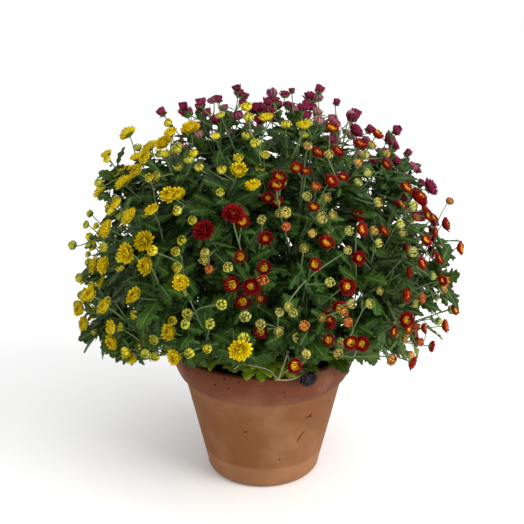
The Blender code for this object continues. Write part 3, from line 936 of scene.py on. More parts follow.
def leaf_material(name, base, vein_colour, rough):
    """Leaf blade: dark green, softly glossy above and matte grey-green below, with a pale midrib
    and side veins that run out and forward to the lobes."""
    made, tree, shader = new_material(name)
    uv = add_node(tree, "ShaderNodeTexCoord").outputs["UV"]
    place = add_node(tree, "ShaderNodeTexCoord").outputs["Object"]
    split = add_node(tree, "ShaderNodeSeparateXYZ", {0: uv})
    tone, youth = (
        add_node(tree, "ShaderNodeAttribute", attribute_name=mark).outputs["Fac"]
        for mark in ("tone", "youth")
    )
    centred = add_node(tree, "ShaderNodeMath", {0: split.outputs[0], 1: 0.5}, operation="SUBTRACT")
    aside = add_node(tree, "ShaderNodeMath", {0: centred.outputs[0]}, operation="ABSOLUTE")
    midrib = add_node(
        tree,
        "ShaderNodeMapRange",
        {0: aside.outputs[0], 1: 0.0, 2: 0.045, 3: 1.0, 4: 0.0},
    ).outputs[0]
    forward = add_node(tree, "ShaderNodeMath", {0: aside.outputs[0], 1: 0.55}, operation="MULTIPLY")
    line = add_node(
        tree, "ShaderNodeMath", {0: split.outputs[1], 1: forward.outputs[0]}, operation="SUBTRACT"
    )
    often = add_node(tree, "ShaderNodeMath", {0: line.outputs[0], 1: 42.0}, operation="MULTIPLY")
    wave = add_node(tree, "ShaderNodeMath", {0: often.outputs[0]}, operation="SINE")
    side = add_node(
        tree,
        "ShaderNodeMapRange",
        {"Value": wave.outputs[0], "From Min": 0.90, "From Max": 1.0, "To Min": 0.0, "To Max": 0.6},
    ).outputs[0]
    veins = add_node(tree, "ShaderNodeMath", {0: midrib, 1: side}, operation="MAXIMUM").outputs[0]
    mottle = add_node(
        tree, "ShaderNodeTexNoise", {"Vector": place, "Scale": 120.0, "Detail": 3.0}
    ).outputs["Fac"]
    dark, light = (tuple(c * k for c in base) for k in (0.6, 1.4))
    body = add_node(
        tree, "ShaderNodeValToRGB", {0: mottle}, stops=((0.3, dark), (0.5, base), (0.75, light))
    )
    shade = add_node(
        tree, "ShaderNodeMapRange", {"Value": tone, "To Min": 0.55, "To Max": 1.5}
    ).outputs[0]
    toned = add_node(tree, "ShaderNodeMix", {0: 1.0, 6: body.outputs[0], 7: shade}, **MULTIPLIED)
    # Young leaves and those at the pot's lip are yellow-green.
    lime = opaque(linear("#8fa62c"))
    fresh = add_node(tree, "ShaderNodeMix", {0: youth, 6: toned.outputs[2], 7: lime}, **MIXED)
    veined = add_node(
        tree, "ShaderNodeMix", {0: veins, 6: fresh.outputs[2], 7: opaque(vein_colour)}, **MIXED
    )
    puckered = add_node(
        tree, "ShaderNodeMath", {0: mottle, 1: veins}, operation="SUBTRACT"
    ).outputs[0]
    bump = add_node(
        tree, "ShaderNodeBump", {"Strength": 0.5, "Distance": 0.5 * MM, "Height": puckered}
    )
    finish_shader(tree, shader, veined.outputs[2], bump, rough=rough, ior=1.42, specular=0.2)
    return made


def stem_material(name, colour, woody):
    """Stalk skin: mottled green under a fine pale down, turning woody near the soil."""
    made, tree, shader = new_material(name)
    place = add_node(tree, "ShaderNodeTexCoord").outputs["Object"]
    split = add_node(tree, "ShaderNodeSeparateXYZ", {0: place})
    tone = add_node(tree, "ShaderNodeAttribute", attribute_name="tone").outputs["Fac"]
    mottle = add_node(
        tree, "ShaderNodeTexNoise", {"Vector": place, "Scale": 300.0, "Detail": 3.0}
    ).outputs["Fac"]
    low = add_node(
        tree,
        "ShaderNodeMapRange",
        {0: split.outputs[2], 1: SOIL_LEVEL, 2: SOIL_LEVEL + WOODY_HEIGHT, 3: 1.0, 4: 0.0},
    ).outputs[0]
    body = add_node(tree, "ShaderNodeMix", {0: low, 6: opaque(colour), 7: opaque(woody)}, **MIXED)
    shade = add_node(
        tree, "ShaderNodeMapRange", {"Value": mottle, "To Min": 0.6, "To Max": 1.3}
    ).outputs[0]
    toned = add_node(tree, "ShaderNodeMix", {0: 1.0, 6: body.outputs[2], 7: shade}, **MULTIPLIED)
    light = add_node(
        tree, "ShaderNodeMapRange", {"Value": tone, "To Min": 0.7, "To Max": 1.3}
    ).outputs[0]
    varied = add_node(tree, "ShaderNodeMix", {0: 1.0, 6: toned.outputs[2], 7: light}, **MULTIPLIED)
    bump = add_node(
        tree, "ShaderNodeBump", {"Strength": 0.4, "Distance": 0.2 * MM, "Height": mottle}
    )
    finish_shader(tree, shader, varied.outputs[2], bump, rough=0.6, sheen=0.15)
    return made


def clay_material(body, rim):
    """Terracotta: unglazed fired clay, warm and matte. The collar is of redder clay, and its colour
    is also darkened with painted shade from the foliage that hangs over it. Water and lime have
    left faint clouds and a tide mark. Dark specks are burnt grit."""
    made, tree, shader = new_material("fired terracotta")
    place = add_node(tree, "ShaderNodeTexCoord").outputs["Object"]
    split = add_node(tree, "ShaderNodeSeparateXYZ", {0: place})
    up = split.outputs[2]
    cloud = add_node(
        tree, "ShaderNodeTexNoise", {"Vector": place, "Scale": 14.0, "Detail": 4.0}
    ).outputs["Fac"]
    wobble = add_node(
        tree, "ShaderNodeMapRange", {"Value": cloud, "To Min": -4 * MM, "To Max": 4 * MM}
    ).outputs[0]
    height = add_node(tree, "ShaderNodeMath", {0: up, 1: wobble}, operation="ADD").outputs[0]
    # Painted shade: the collar band takes the rim colour, which is redder clay made darker as if
    # shaded by the foliage above.
    collar = add_node(
        tree,
        "ShaderNodeMapRange",
        {"Value": height, "From Min": BAND_BOTTOM - 1 * MM, "From Max": BAND_BOTTOM + 5 * MM},
    ).outputs[0]
    clay = add_node(tree, "ShaderNodeMix", {0: collar, 6: opaque(body), 7: opaque(rim)}, **MIXED)
    # Lime bloom in soft clouds some 60 mm across.
    bloom = add_node(
        tree,
        "ShaderNodeMapRange",
        {"Value": cloud, "From Min": 0.48, "From Max": 0.78, "To Max": 0.24},
    ).outputs[0]
    bloomed = add_node(
        tree, "ShaderNodeMix", {0: bloom, 6: clay.outputs[2], 7: opaque(linear("#cc9a78"))}, **MIXED
    )
    damp = add_node(
        tree,
        "ShaderNodeMapRange",
        {"Value": cloud, "From Min": 0.46, "From Max": 0.22, "To Max": 0.35},
    ).outputs[0]
    inputs = {0: damp, 6: bloomed.outputs[2], 7: opaque(linear("#6e3a22"))}
    dampened = add_node(tree, "ShaderNodeMix", inputs, **MIXED)
    # A faint tide mark above the foot, where the clay below has bleached.
    tide = add_node(
        tree,
        "ShaderNodeMapRange",
        {"Value": height, "From Min": 29 * MM, "From Max": 34 * MM, "To Min": 0.22, "To Max": 0.0},
    ).outputs[0]
    inputs = {0: tide, 6: dampened.outputs[2], 7: opaque(linear("#b98a68"))}
    bleached = add_node(tree, "ShaderNodeMix", inputs, **MIXED)
    # Grit of about 1 mm, drawn twice as coarse as it is so that it shows.
    grit = add_node(
        tree, "ShaderNodeTexNoise", {"Vector": place, "Scale": 500.0, "Detail": 2.0}
    ).outputs["Fac"]
    grain = add_node(
        tree, "ShaderNodeMapRange", {"Value": grit, "To Min": 0.86, "To Max": 1.14}
    ).outputs[0]
    grained = add_node(
        tree, "ShaderNodeMix", {0: 1.0, 6: bleached.outputs[2], 7: grain}, **MULTIPLIED
    )
    # Dark specks up to 3 mm across, one to every 60 mm or so.
    cells = add_node(
        tree, "ShaderNodeTexVoronoi", {"Vector": place, "Scale": 62.0, "Randomness": 1.0}
    )
    chance = add_node(tree, "ShaderNodeSeparateXYZ", {0: cells.outputs["Color"]}).outputs[0]
    few = add_node(tree, "ShaderNodeMath", {0: chance, 1: 0.06}, operation="LESS_THAN").outputs[0]
    near = add_node(
        tree, "ShaderNodeMath", {0: cells.outputs["Distance"], 1: 0.085}, operation="LESS_THAN"
    ).outputs[0]
    speck = add_node(tree, "ShaderNodeMath", {0: few, 1: near}, operation="MULTIPLY").outputs[0]
    inputs = {0: speck, 6: grained.outputs[2], 7: opaque(linear("#2e1710"))}
    specked = add_node(tree, "ShaderNodeMix", inputs, **MIXED)
    pits = add_node(tree, "ShaderNodeMath", {0: speck, 1: 1.5}, operation="MULTIPLY").outputs[0]
    relief = add_node(tree, "ShaderNodeMath", {0: grit, 1: pits}, operation="SUBTRACT").outputs[0]
    bump = add_node(
        tree, "ShaderNodeBump", {"Strength": 0.5, "Distance": 0.5 * MM, "Height": relief}
    )
    finish_shader(tree, shader, specked.outputs[2], bump, rough=0.78, ior=1.5, specular=0.3)
    return made


def grainy_material(name, colour, lighter, scale, rough, relief):
    """Loose or weathered stuff: two shades mixed by a fine noise of that scale."""
    made, tree, shader = new_material(name)
    place = add_node(tree, "ShaderNodeTexCoord").outputs["Object"]
    grain = add_node(
        tree, "ShaderNodeTexNoise", {"Vector": place, "Scale": scale, "Detail": 5.0}
    ).outputs["Fac"]
    shade = add_node(
        tree, "ShaderNodeValToRGB", {0: grain}, stops=((0.35, colour), (0.75, lighter))
    )
    bump = add_node(tree, "ShaderNodeBump", {"Strength": 0.8, "Distance": relief, "Height": grain})
    finish_shader(tree, shader, shade.outputs[0], bump, rough=rough, specular=0.25)
    return made


# Shades of young petals, which most buds and some heads have: the first is the commoner.
YOUNG = {
    "yellow": ("#a4b048", "#e0d232"),
    "red": ("#b0c466", "#c4623a"),
    "purple": ("#a05a70", "#b88a84"),
}
# The outermost petals' backs, which weather last.
OUTER_BACK = {"yellow": "#ecd21c", "red": "#98120c", "purple": "#822044"}


def spray_materials(plant, settings):
    """The finishes of a spray, in the order of its material slots."""
    young = [linear(code) for code in YOUNG[plant]]
    face, heart, back = (getattr(settings, f"{plant}_{part}") for part in ("face", "heart", "back"))
    return [
        petal_material(f"{plant} petal face", face, heart, young),
        petal_material(f"{plant} petal back", linear(OUTER_BACK[plant]), back, young),
        leaf_material(f"{plant} bract", settings.bract, linear("#8da352"), 0.6),
        stem_material(f"{plant} stalk", settings.stem, linear("#6a5236")),
        leaf_material(f"{plant} leaf", settings.leaf_top, linear("#60803c"), 0.48),
        leaf_material(f"{plant} leaf underside", settings.leaf_under, linear("#82985c"), 0.7),
    ]


PETAL_FACE, PETAL_BACK, BRACT, STALK, LEAF_TOP, LEAF_UNDER = range(6)


# Sprays: the stems, stalks, leaves and heads of one stem as one piece.


def lay_stem(bm, blank, stem, tone):
    """The main stem, from the soil up to its last fork."""
    start, end = ROOT_REACH, stem.forks[0]

    def place(x, y, z):
        reach = blend(start, end, z)
        ahead = on_path(stem.path, min(end, reach + STEM_STEP))
        growth = (ahead - on_path(stem.path, reach - STEM_STEP)).normalized()
        radius = blend(*STEM_DRAWN_RADIUS, z)
        return on_path(stem.path, reach) + round_rod(growth, x, y) * radius

    lay(bm, blank, place, tone=tone)


def stalk_course(root, growth, head):
    """The bowed line of a stalk from its root, which it leaves along growth, to its head, as a
    function of the share of the way."""
    length = (head.base - root).length
    leave = growth * length * STALK_BOW[0]
    arrive = head.axis * length * STALK_BOW[1]

    def course(t):
        return (
            root * (1 + 2 * t) * (1 - t) ** 2
            + leave * t * (1 - t) ** 2
            + head.base * t * t * (3 - 2 * t)
            - arrive * t * t * (1 - t)
        )

    return course


def main_course(stem, head, fork):
    """The course of a planned head's stalk, from the main stem."""
    root = on_path(stem.path, fork)
    growth = (root - on_path(stem.path, fork - FORK_STEP)).normalized()
    return stalk_course(root, growth, head)


def middle_of(head):
    return head.base + head.axis * (head.radius * HEAD_MIDDLE)


def plan_side_heads(stems, territories, courses):
    """The smaller heads of every stem, each with the course of its stalk, which leaves the
    nearest stalk of the same stem."""
    rng = random.Random(SIDE_SEED)
    taken = [(middle_of(head), head.radius) for stem in stems for head in stem.heads]
    found = [[] for _ in stems]
    for index in range(SIDE_PLACES):
        outward = dome_direction(index, SIDE_PLACES, rng, HEAD_JITTER)
        place = dome_place(outward, rng.uniform(*SIDE_DEPTH))
        own = territories.owner(place)
        plant = stems[own].plant
        kind, radius = pick_head(SIDE_SHARES[plant], rng)
        head = Head(place, head_axis(outward, rng), radius, kind)
        middle = middle_of(head)
        if rng.random() > SIDE_CHANCE[plant]:
            continue
        if not clear_of_pot(place, head.radius + POT_CLEARANCE):
            continue
        if not in_cad_box(middle, head.radius * SIDE_BOX_SHARE):
            continue
        if any((middle - spot).length < size + head.radius + SIDE_GAP for spot, size in taken):
            continue
        starts = [(course, share) for course in courses[own] for share in SIDE_FORKS]
        course, share = min(starts, key=lambda start: side_cost(start, place, outward))
        root = course(share)
        growth = (course(share + STALK_STEP) - root).normalized()
        found[own].append((head, stalk_course(root, growth, head)))
        taken.append((middle, head.radius))
    return found


def side_cost(start, place, outward):
    """How far a side stalk would run, counting one that would run level or inwards as longer."""
    course, share = start
    arm = place - course(share)
    return arm.length + SIDE_COST * max(0.0, arm.length * SIDE_STALK - arm.dot(outward))


def lay_stalk(bm, blank, course, head, tone):
    """A side stalk that swells into the receptacle under its head."""

    def place(x, y, z):
        share = min(1.0, z / STALK_SHARE)
        middle = course(share)
        growth = (course(min(1.0, share + STALK_STEP)) - course(share - STALK_STEP)).normalized()
        radius = blend(*STALK_DRAWN_RADIUS, share)
        if z > STALK_SHARE:
            swell = (z - STALK_SHARE) / (1 - STALK_SHARE)
            middle = head.base + head.axis * (RECEPTACLE_HEIGHT * head.radius * swell)
            radius = blend(radius, RECEPTACLE_RADIUS * head.radius, swell)
        return middle + round_rod(growth, x, y) * radius

    lay(bm, blank, place, tone=tone)


def swing(reach, rng):
    """A random value between minus and plus reach."""
    return rng.uniform(-reach, reach)


def petal_width(share):
    """A petal's half width along it, as a share of its widest: from a narrower root it widens
    to three fifths of the way and then rounds in to its tip."""
    rise = blend(PETAL_ROOT_WIDTH, 1.0, smooth_step(share / PETAL_WIDEST))
    tip = smooth_step((share - PETAL_TAPER_FROM) / (1 - PETAL_TAPER_FROM))
    return rise * (1 - PETAL_TAPER * tip)


def lay_whorl(bm, blank, head, whorl, spin, layer, marks, rng, closing, root_share, cup):
    """A ring of petals: each leaves the receptacle at its lean, less the head's closing, and
    bends steadily by its curl. layer is how far in the ring lies, root_share how far up and out
    it starts, and cup how hollow its petals are across. marks are its depth in the heart's
    colour, its tone and its youth."""
    up = head.axis
    side = up.cross(ASIDE).normalized()
    other = up.cross(side)
    depth, tone, youth = marks
    reach = ROOT_RADIUS * root_share * (1 - ROOT_NARROWS * layer) * head.radius
    height = (ROOT_HEIGHT * root_share + ROOT_CLIMB * layer) * head.radius
    for i in range(whorl.count):
        angle = spin + 2 * math.pi * (i + swing(PETAL_TURN_JITTER, rng)) / whorl.count
        outward = side * math.cos(angle) + other * math.sin(angle)
        across = outward.cross(up)
        lean = math.radians(whorl.lean - closing + swing(PETAL_LEAN_JITTER, rng))
        curl = math.radians(whorl.curl + swing(PETAL_CURL_JITTER, rng))
        length = whorl.length * head.radius * rng.uniform(*PETAL_LENGTHS)
        width = whorl.width * head.radius * rng.uniform(*PETAL_WIDTHS)
        root = head.base + outward * reach + up * height
        twist = swing(PETAL_TWIST, rng)

        def place(x, y, z):
            share = y * (1 - PETAL_TIP_ROUNDING * x * x * y)
            turned_by = lean + curl * share
            out = length * (math.cos(lean) - math.cos(turned_by)) / curl
            rise = length * (math.sin(turned_by) - math.sin(lean)) / curl
            face = up * math.sin(turned_by) - outward * math.cos(turned_by)
            half = width * petal_width(y)
            lift = half * (cup * x * x + twist * x * y) + PETAL_BODY * z
            return root + outward * out + up * rise + across * (half * x) + face * lift

        lay(bm, blank, place, depth, tone + swing(PETAL_TONE_JITTER, rng), youth)


def lay_head(bm, blanks, plant, head, tone, rng):
    """A flower head: green bracts beneath, then its whorls of petals from the outside in."""
    form = head.kind
    if form == "button" and rng.random() < OPENED_BUTTONS[plant]:
        form = "cup"
    share = DRAWN_SHARE[form]
    if in_cad_box(head.base, BOX_ROOM * head.radius):
        share *= PLANT_SHARE[plant]
    head = head._replace(radius=head.radius * share)
    youth = YOUTH[form] * rng.uniform(*YOUTH_SPREAD)
    spin = rng.uniform(0, 2 * math.pi)
    for i, whorl in enumerate(BRACTS[form]):
        lay_whorl(
            bm, blanks["bract"], head, whorl, spin + BRACT_TURN * i, 0.0, (0.0, tone, 0.0), rng,
            closing=0.0, root_share=BRACT_ROOT_SHARE, cup=BRACT_CUP,
        )
    whorls = WHORLS[form]
    closing = CLOSING[plant] * rng.uniform(*CLOSING_SPREAD) * (form in ("open", "cup"))
    heart_from = HEART_FROM[form] + swing(HEART_SPREAD, rng)
    for i, whorl in enumerate(whorls):
        depth = min(1.0, max(0.0, i - heart_from + 1))
        spin += math.pi / whorl.count + WHORL_TURN
        lay_whorl(
            bm, blanks[form], head, whorl, spin, i / len(whorls), (depth, tone, youth), rng,
            closing=closing, root_share=1.0, cup=PETAL_CUP[form],
        )


def lay_leaf(bm, blanks, leaf, tone, youth, rng):
    """A lobed leaf: its sheet cut to the outline, arched, folded a little and waved at its edge."""
    size = "small_leaf" if leaf.length < SMALL_LEAF else "leaf"
    if leaf.length > LARGE_LEAF:
        size = "large_leaf"
    outline = SMALL_LEAF_OUTLINE if size == "small_leaf" else LEAF_OUTLINE
    rows = len(outline) - 1
    side = leaf.along.cross(leaf.face).normalized()
    waves = rng.uniform(*LEAF_WAVES)
    phase = rng.uniform(0, 2 * math.pi)
    uneven = [rng.uniform(*LEAF_UNEVEN) for _ in outline]
    roll = swing(LEAF_ROLL, rng)

    def place(x, y, z):
        row = round(y * rows)
        share, half = outline[row]
        half *= uneven[row]
        aside = half * x
        share += LEAF_SWEEP * abs(aside) * abs(x)
        fold = LEAF_FOLD * (abs(x) * half) - LEAF_DROOP * share * share
        wave = math.sin(waves * math.pi * share * 2 + phase + (x > 0) * LEAF_SIDE_PHASE)
        ripple = LEAF_WAVE * wave * x * x
        height = fold + ripple * min(1.0, half / LEAF_WAVY_FROM) + roll * aside
        flat = leaf.along * share - side * aside + leaf.face * height
        return leaf.base + flat * leaf.length + leaf.face * (LEAF_BODY * z)

    lay(bm, blanks[size], place, 0.0, tone, youth)


def in_cad_box(place, margin):
    """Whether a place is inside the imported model's box by that margin."""
    low, high = CAD_BOX
    return all(low[k] + margin < place[k] < high[k] - margin for k in range(3))


def stands_free(leaf, territories, own):
    """Whether an added leaf keeps off the pot and mostly in its own stem's room."""
    marks = leaf_marks(leaf)
    if not all(in_cad_box(mark, BOX_FREE) for mark in marks):
        return False
    if not all(clear_of_pot(mark, LEAF_FREE) and above_underside(mark) for mark in marks):
        return False
    return territories.room(marks[6], own) > -TERRITORY_SLACK


def plan_foliage(stem, own, territories, courses, sites, rng):
    """The leaves that fill a spray: up its main stem and, smaller, along its stalks."""
    leaves = []
    top = stem.path[-1][0]
    for site in range(sites):
        reach = top * blend(FOLIAGE_TO, FOLIAGE_FROM, (site + rng.uniform(0, 1)) / sites)
        base = on_path(stem.path, reach)
        growth = (base - on_path(stem.path, reach - STEM_STEP)).normalized()
        length = rng.uniform(*FOLIAGE_LENGTHS)
        spread = rng.uniform(*FOLIAGE_SPREADS)
        turn = site * GOLDEN_ANGLE + swing(FOLIAGE_TURN_JITTER, rng)
        for shrink in LEAF_SHRINKS:
            leaf = leaf_at(base, growth, turn, length * shrink, spread)
            if stands_free(leaf, territories, own):
                leaves.append(leaf)
                break
            turn += FOLIAGE_TURN_STEP
    steep = stem.path[-1][1].z - SOIL_LEVEL > CROWN_HEIGHT
    for course in courses:
        turn = rng.uniform(0, 2 * math.pi)
        for share, shortest, longest in STALK_LEAVES + (CROWN_LEAVES if steep else ()):
            place = share + swing(STALK_LEAF_JITTER, rng)
            base = course(place)
            growth = (course(place + STALK_STEP) - base).normalized()
            length = rng.uniform(shortest, longest) * MM
            leaf = leaf_at(base, growth, turn, length, rng.uniform(*FOLIAGE_SPREADS))
            turn += STALK_LEAF_TURN
            if stands_free(leaf, territories, own):
                leaves.append(leaf)
    return leaves


def spray_blanks():
    """Blanks for one set of sprays, by what is bent from them."""
    blanks = {
        kind: sheet_blank(kind, PETAL_COLUMNS, count, (PETAL_FACE, PETAL_BACK))
        for kind, count in PETAL_ROWS.items()
    }
    blanks["bract"] = sheet_blank("bract", PETAL_COLUMNS, BRACT_ROWS, (BRACT, BRACT))
    for size, columns, outline in (
        ("large_leaf", LARGE_LEAF_COLUMNS, LEAF_OUTLINE),
        ("leaf", LEAF_COLUMNS, LEAF_OUTLINE),
        ("small_leaf", LEAF_COLUMNS, SMALL_LEAF_OUTLINE),
    ):
        blanks[size] = sheet_blank(size, columns, len(outline) - 1, (LEAF_TOP, LEAF_UNDER))
    blanks["stem"] = rod_blank("stem", *STEM_DRAWN, STALK)
    blanks["stalk"] = rod_blank("stalk", *STALK_DRAWN, STALK)
    return blanks


def head_tone(head, rng):
    """How light a head is among its like: an open one is light, and the rest vary more."""
    return rng.uniform(*OPEN_TONES) if head.kind == "open" else rng.random()


def make_spray(stem, own, territories, courses, side_heads, blanks, sites):
    """One piece: a stem with its stalks, leaves and flower heads."""
    rng = random.Random(FOLIAGE_SEED + own)
    bm = marked_bmesh()
    lay_stem(bm, blanks["stem"], stem, rng.random())
    for head, course in list(zip(stem.heads, courses)) + side_heads:
        lay_stalk(bm, blanks["stalk"], course, head, rng.random())
        lay_head(bm, blanks, stem.plant, head, head_tone(head, rng), rng)
    leaves = stem.leaves + plan_foliage(stem, own, territories, courses, sites, rng)
    for leaf in leaves:
        lip = max(0.0, 1 - (leaf.base.z - SOIL_LEVEL) / LIP_ZONE) * (leaf.base.y < 0)
        lay_leaf(bm, blanks, leaf, rng.random(), lip * rng.uniform(*LIP_YOUTHS), rng)
    mesh = bmesh_to_mesh(bm, stem.name.replace("stem", "spray"))
    return bpy.data.objects.new(mesh.name, mesh)


def add_piece(obj, nodes, materials):
    """Links a finished piece, gives it its finishes and rides it on the part."""
    bpy.context.scene.collection.objects.link(obj)
    for made in materials:
        obj.data.materials.append(made)
    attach(obj, BODY)
    if nodes:
        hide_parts(*nodes)


class MUM_OT_sprays(bpy.types.Operator):
    """Make the sprays of one plant: stems, stalks, lobed leaves and petalled flower heads"""

    bl_idname = "mum.sprays"
    bl_label = "Sprays in bloom"

    plant: bpy.props.EnumProperty(
        name="Plant",
        description="Which of the three plants",
        items=[(plant, plant.capitalize(), f"The {plant} plant") for plant in PLANTS],
    )

    def execute(self, context):
        settings = context.scene.mum_plant
        stems, territories = plan_stems()
        courses = [
            [main_course(stem, head, fork) for head, fork in zip(stem.heads, stem.forks)]
            for stem in stems
        ]
        side_heads = plan_side_heads(stems, territories, courses)
        blanks = spray_blanks()
        materials = spray_materials(self.plant, settings)
        for own, stem in enumerate(stems):
            if stem.plant != self.plant:
                continue
            if stem.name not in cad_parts:
                raise RuntimeError(f"the packed model has no node {stem.name}")
            spray = make_spray(
                stem, own, territories, courses[own], side_heads[own], blanks, settings.foliage
            )
            add_piece(spray, [stem.name], materials)
        for blank in blanks.values():
            bpy.data.meshes.remove(blank)
        return {"FINISHED"}


# The pot and what is in it.


def body_radius(height):
    """The outside radius of the pot's plain body."""
    return blend(FOOT_RADIUS, BODY_TOP_RADIUS, height / BAND_BOTTOM)


def inner_radius(height):
    """The inside radius of the pot, straight from its floor to the collar and on to the lip."""
    if height <= BAND_BOTTOM:
        return body_radius(height) - WALL
    share = (height - BAND_BOTTOM) / (POT_HEIGHT - LIP_ROUNDING - BAND_BOTTOM)
    return blend(BODY_TOP_RADIUS - WALL, LIP_INNER_RADIUS, share)


def between(points, i, t):
    """The place at share t of the gap after the i-th of some points, on a smooth line through
    them all."""
    last = len(points) - 1
    before, start, end, after = (Vector(points[min(max(i + k, 0), last)]) for k in (-1, 0, 1, 2))
    bend = (end - before) * t + (2 * before - 5 * start + 4 * end - after) * t * t
    bend += (3 * start - before - 3 * end + after) * t**3
    return start + bend * 0.5


def eased(points, steps):
    """A smooth line of (radius, height) through the points, with that many steps to each gap."""
    gaps = range(len(points) - 1)
    line = [tuple(between(points, i, step / steps)) for i in gaps for step in range(steps)]
    return line + [tuple(points[-1])]


def arc(centre, radius, start, end, steps):
    """Points of (radius, height) round a centre, from one angle to another in degrees."""
    angles = [math.radians(blend(start, end, i / steps)) for i in range(steps + 1)]
    return [(centre[0] + radius * math.cos(a), centre[1] + radius * math.sin(a)) for a in angles]


def pot_line():
    """The pot's section from its foot up the outside, over the lip and down to the drain hole."""
    foot_centre = (body_radius(FOOT_ROUNDING) - FOOT_ROUNDING, FOOT_ROUNDING)
    foot = arc(foot_centre, FOOT_ROUNDING, -90, 4, 8)
    wall = [(body_radius(BAND_BOTTOM * i / 8), BAND_BOTTOM * i / 8) for i in range(2, 9)]
    shoulder = [
        (blend(BODY_TOP_RADIUS, RIM_RADIUS, out), blend(BAND_BOTTOM, POT_HEIGHT, up))
        for out, up in COLLAR
    ]
    collar = eased(shoulder[:-1], 4)
    rounding = LIP_ROUNDING * 0.9
    level = POT_HEIGHT - rounding
    lip_outside = arc((RIM_RADIUS - LIP_ROUNDING * 1.15, level), rounding, 40, 90, 5)
    lip_inside = arc((LIP_INNER_RADIUS + rounding, level), rounding, 90, 180, 6)
    inside = [(inner_radius(h), h) for h in (SOIL_LEVEL, BAND_BOTTOM, FLOOR * 3, FLOOR)]
    drain = [(DRAIN_RADIUS, FLOOR), (DRAIN_RADIUS, 0)]
    return foot + wall + collar + lip_outside + lip_inside + inside + drain


def turn_section(line, steps, closed):
    """A bmesh of a section of (radius, height) points, closed or not, turned once round Z."""
    bm = bmesh.new()
    corners = [bm.verts.new((radius, 0, height)) for radius, height in line]
    ends = corners[1:] + corners[:closed]
    edges = [bm.edges.new(pair) for pair in zip(corners, ends)]
    whole = {"cent": (0, 0, 0), "axis": (0, 0, 1), "angle": 2 * math.pi}
    bmesh.ops.spin(bm, geom=edges, steps=steps, use_merge=True, **whole)
    return bm


class MUM_OT_pot(bpy.types.Operator):
    """Turn the terracotta pot, with its rounded collar and lip"""

    bl_idname = "mum.pot"
    bl_label = "Terracotta pot"

    def execute(self, context):
        settings = context.scene.mum_pot
        bm = turn_section(pot_line(), POT_STEPS, True)
        bmesh.ops.recalc_face_normals(bm, faces=bm.faces)
        for face in bm.faces:
            face.smooth = True
        mesh = bmesh_to_mesh(bm, "terracotta_pot")
        mesh.set_sharp_from_angle(angle=POT_SHARP)
        pot = bpy.data.objects.new(mesh.name, mesh)
        add_piece(pot, ["pot"], [clay_material(settings.body, settings.rim)])
        return {"FINISHED"}


def soil_height(x, y):
    """The uneven surface of the potting mix, a little higher round the crown."""
    place = Vector((x, y, 0))
    lumps = sum(noise.noise(place * count) * height for count, height in SOIL_LUMPS)
    heap = HEAP_HEIGHT * max(0.0, 1 - place.length / HEAP_RADIUS)
    return SOIL_LEVEL - SOIL_SINKS + lumps + heap


def soil_bmesh():
    """Potting mix: a lumpy surface on a shallow plug that fills the pot's mouth."""
    edge = inner_radius(SOIL_LEVEL - 12 * MM) - SOIL_GAP
    line = [(edge * i / SOIL_RINGS, SOIL_LEVEL) for i in range(1, SOIL_RINGS + 1)]
    line += [(edge, SOIL_LEVEL - SOIL_PLUG)]
    bm = turn_section(line, SOIL_STEPS, False)
    rims = [edge for edge in bm.edges if edge.is_boundary]
    bmesh.ops.holes_fill(bm, edges=rims, sides=0)
    bmesh.ops.recalc_face_normals(bm, faces=bm.faces)
    for vert in bm.verts:
        if vert.co.z > SOIL_LEVEL - 1 * MM:
            vert.co.z = soil_height(vert.co.x, vert.co.y)
    for face in bm.faces:
        face.smooth = len(face.verts) == 4
    return bm


def scatter_crumbs(bm, count, smallest, largest, rng, slot):
    """Lumps of that size strewn over the soil, half sunk in it."""
    limit = inner_radius(SOIL_LEVEL) - CRUMB_FREE
    for _ in range(count):
        size = blend(smallest, largest, rng.random() ** 2)
        radius = limit * math.sqrt(rng.random())
        angle = rng.uniform(0, 2 * math.pi)
        x, y = radius * math.cos(angle), radius * math.sin(angle)
        wide, deep = rng.uniform(*CRUMB_SQUASH), rng.uniform(*CRUMB_SQUASH)
        squash = Matrix.Diagonal((wide, deep, CRUMB_HEIGHT, 1))
        spot = Matrix.Translation((x, y, soil_height(x, y) + size * CRUMB_LIES))
        turn = Matrix.Rotation(rng.uniform(*CRUMB_TURNS), 4, "Z")
        known = len(bm.faces)
        bmesh.ops.create_icosphere(bm, subdivisions=1, radius=size, matrix=spot @ turn @ squash)
        bm.faces.ensure_lookup_table()
        for face in bm.faces[known:]:
            face.material_index = slot


class MUM_OT_soil(bpy.types.Operator):
    """Fill the pot's mouth with crumbly potting mix"""

    bl_idname = "mum.soil"
    bl_label = "Potting mix"

    def execute(self, context):
        settings = context.scene.mum_pot
        rng = random.Random(SEED)
        bm = soil_bmesh()
        scatter_crumbs(bm, settings.crumbs, SMALLEST_CRUMB, settings.crumb_size, rng, 0)
        scatter_crumbs(bm, PERLITE, *PERLITE_SIZES, rng, 1)
        mesh = bmesh_to_mesh(bm, "potting_mix")
        soil = bpy.data.objects.new(mesh.name, mesh)
        lighter = tuple(c * 3.2 for c in settings.soil)
        peat = grainy_material("moist peat", settings.soil, lighter, 260.0, 0.9, 1.2 * MM)
        pale, white = linear("#b8b2a4"), linear("#e2ddd0")
        perlite = grainy_material("perlite", pale, white, 900.0, 0.85, 0.2 * MM)
        add_piece(soil, ["soil"], [peat, perlite])
        return {"FINISHED"}


# What lies at the pot's lip and sticks to its outside.


def through(corners):
    """A smooth course through corners in millimetres, as a function of the share of the way."""
    line = [Vector(corner) * MM for corner in corners]

    def course(share):
        step = min(len(line) - 2, max(0, int(share * (len(line) - 1))))
        return between(line, step, share * (len(line) - 1) - step)

    return course


def lay_twig(bm, blank, course, radii, tone):
    """A rod along a course, thinner towards its end."""

    def place(x, y, z):
        ahead, behind = course(min(1.0, z + STALK_STEP)), course(max(0.0, z - STALK_STEP))
        return course(z) + round_rod((ahead - behind).normalized(), x, y) * blend(*radii, z)

    lay(bm, blank, place, tone=tone)


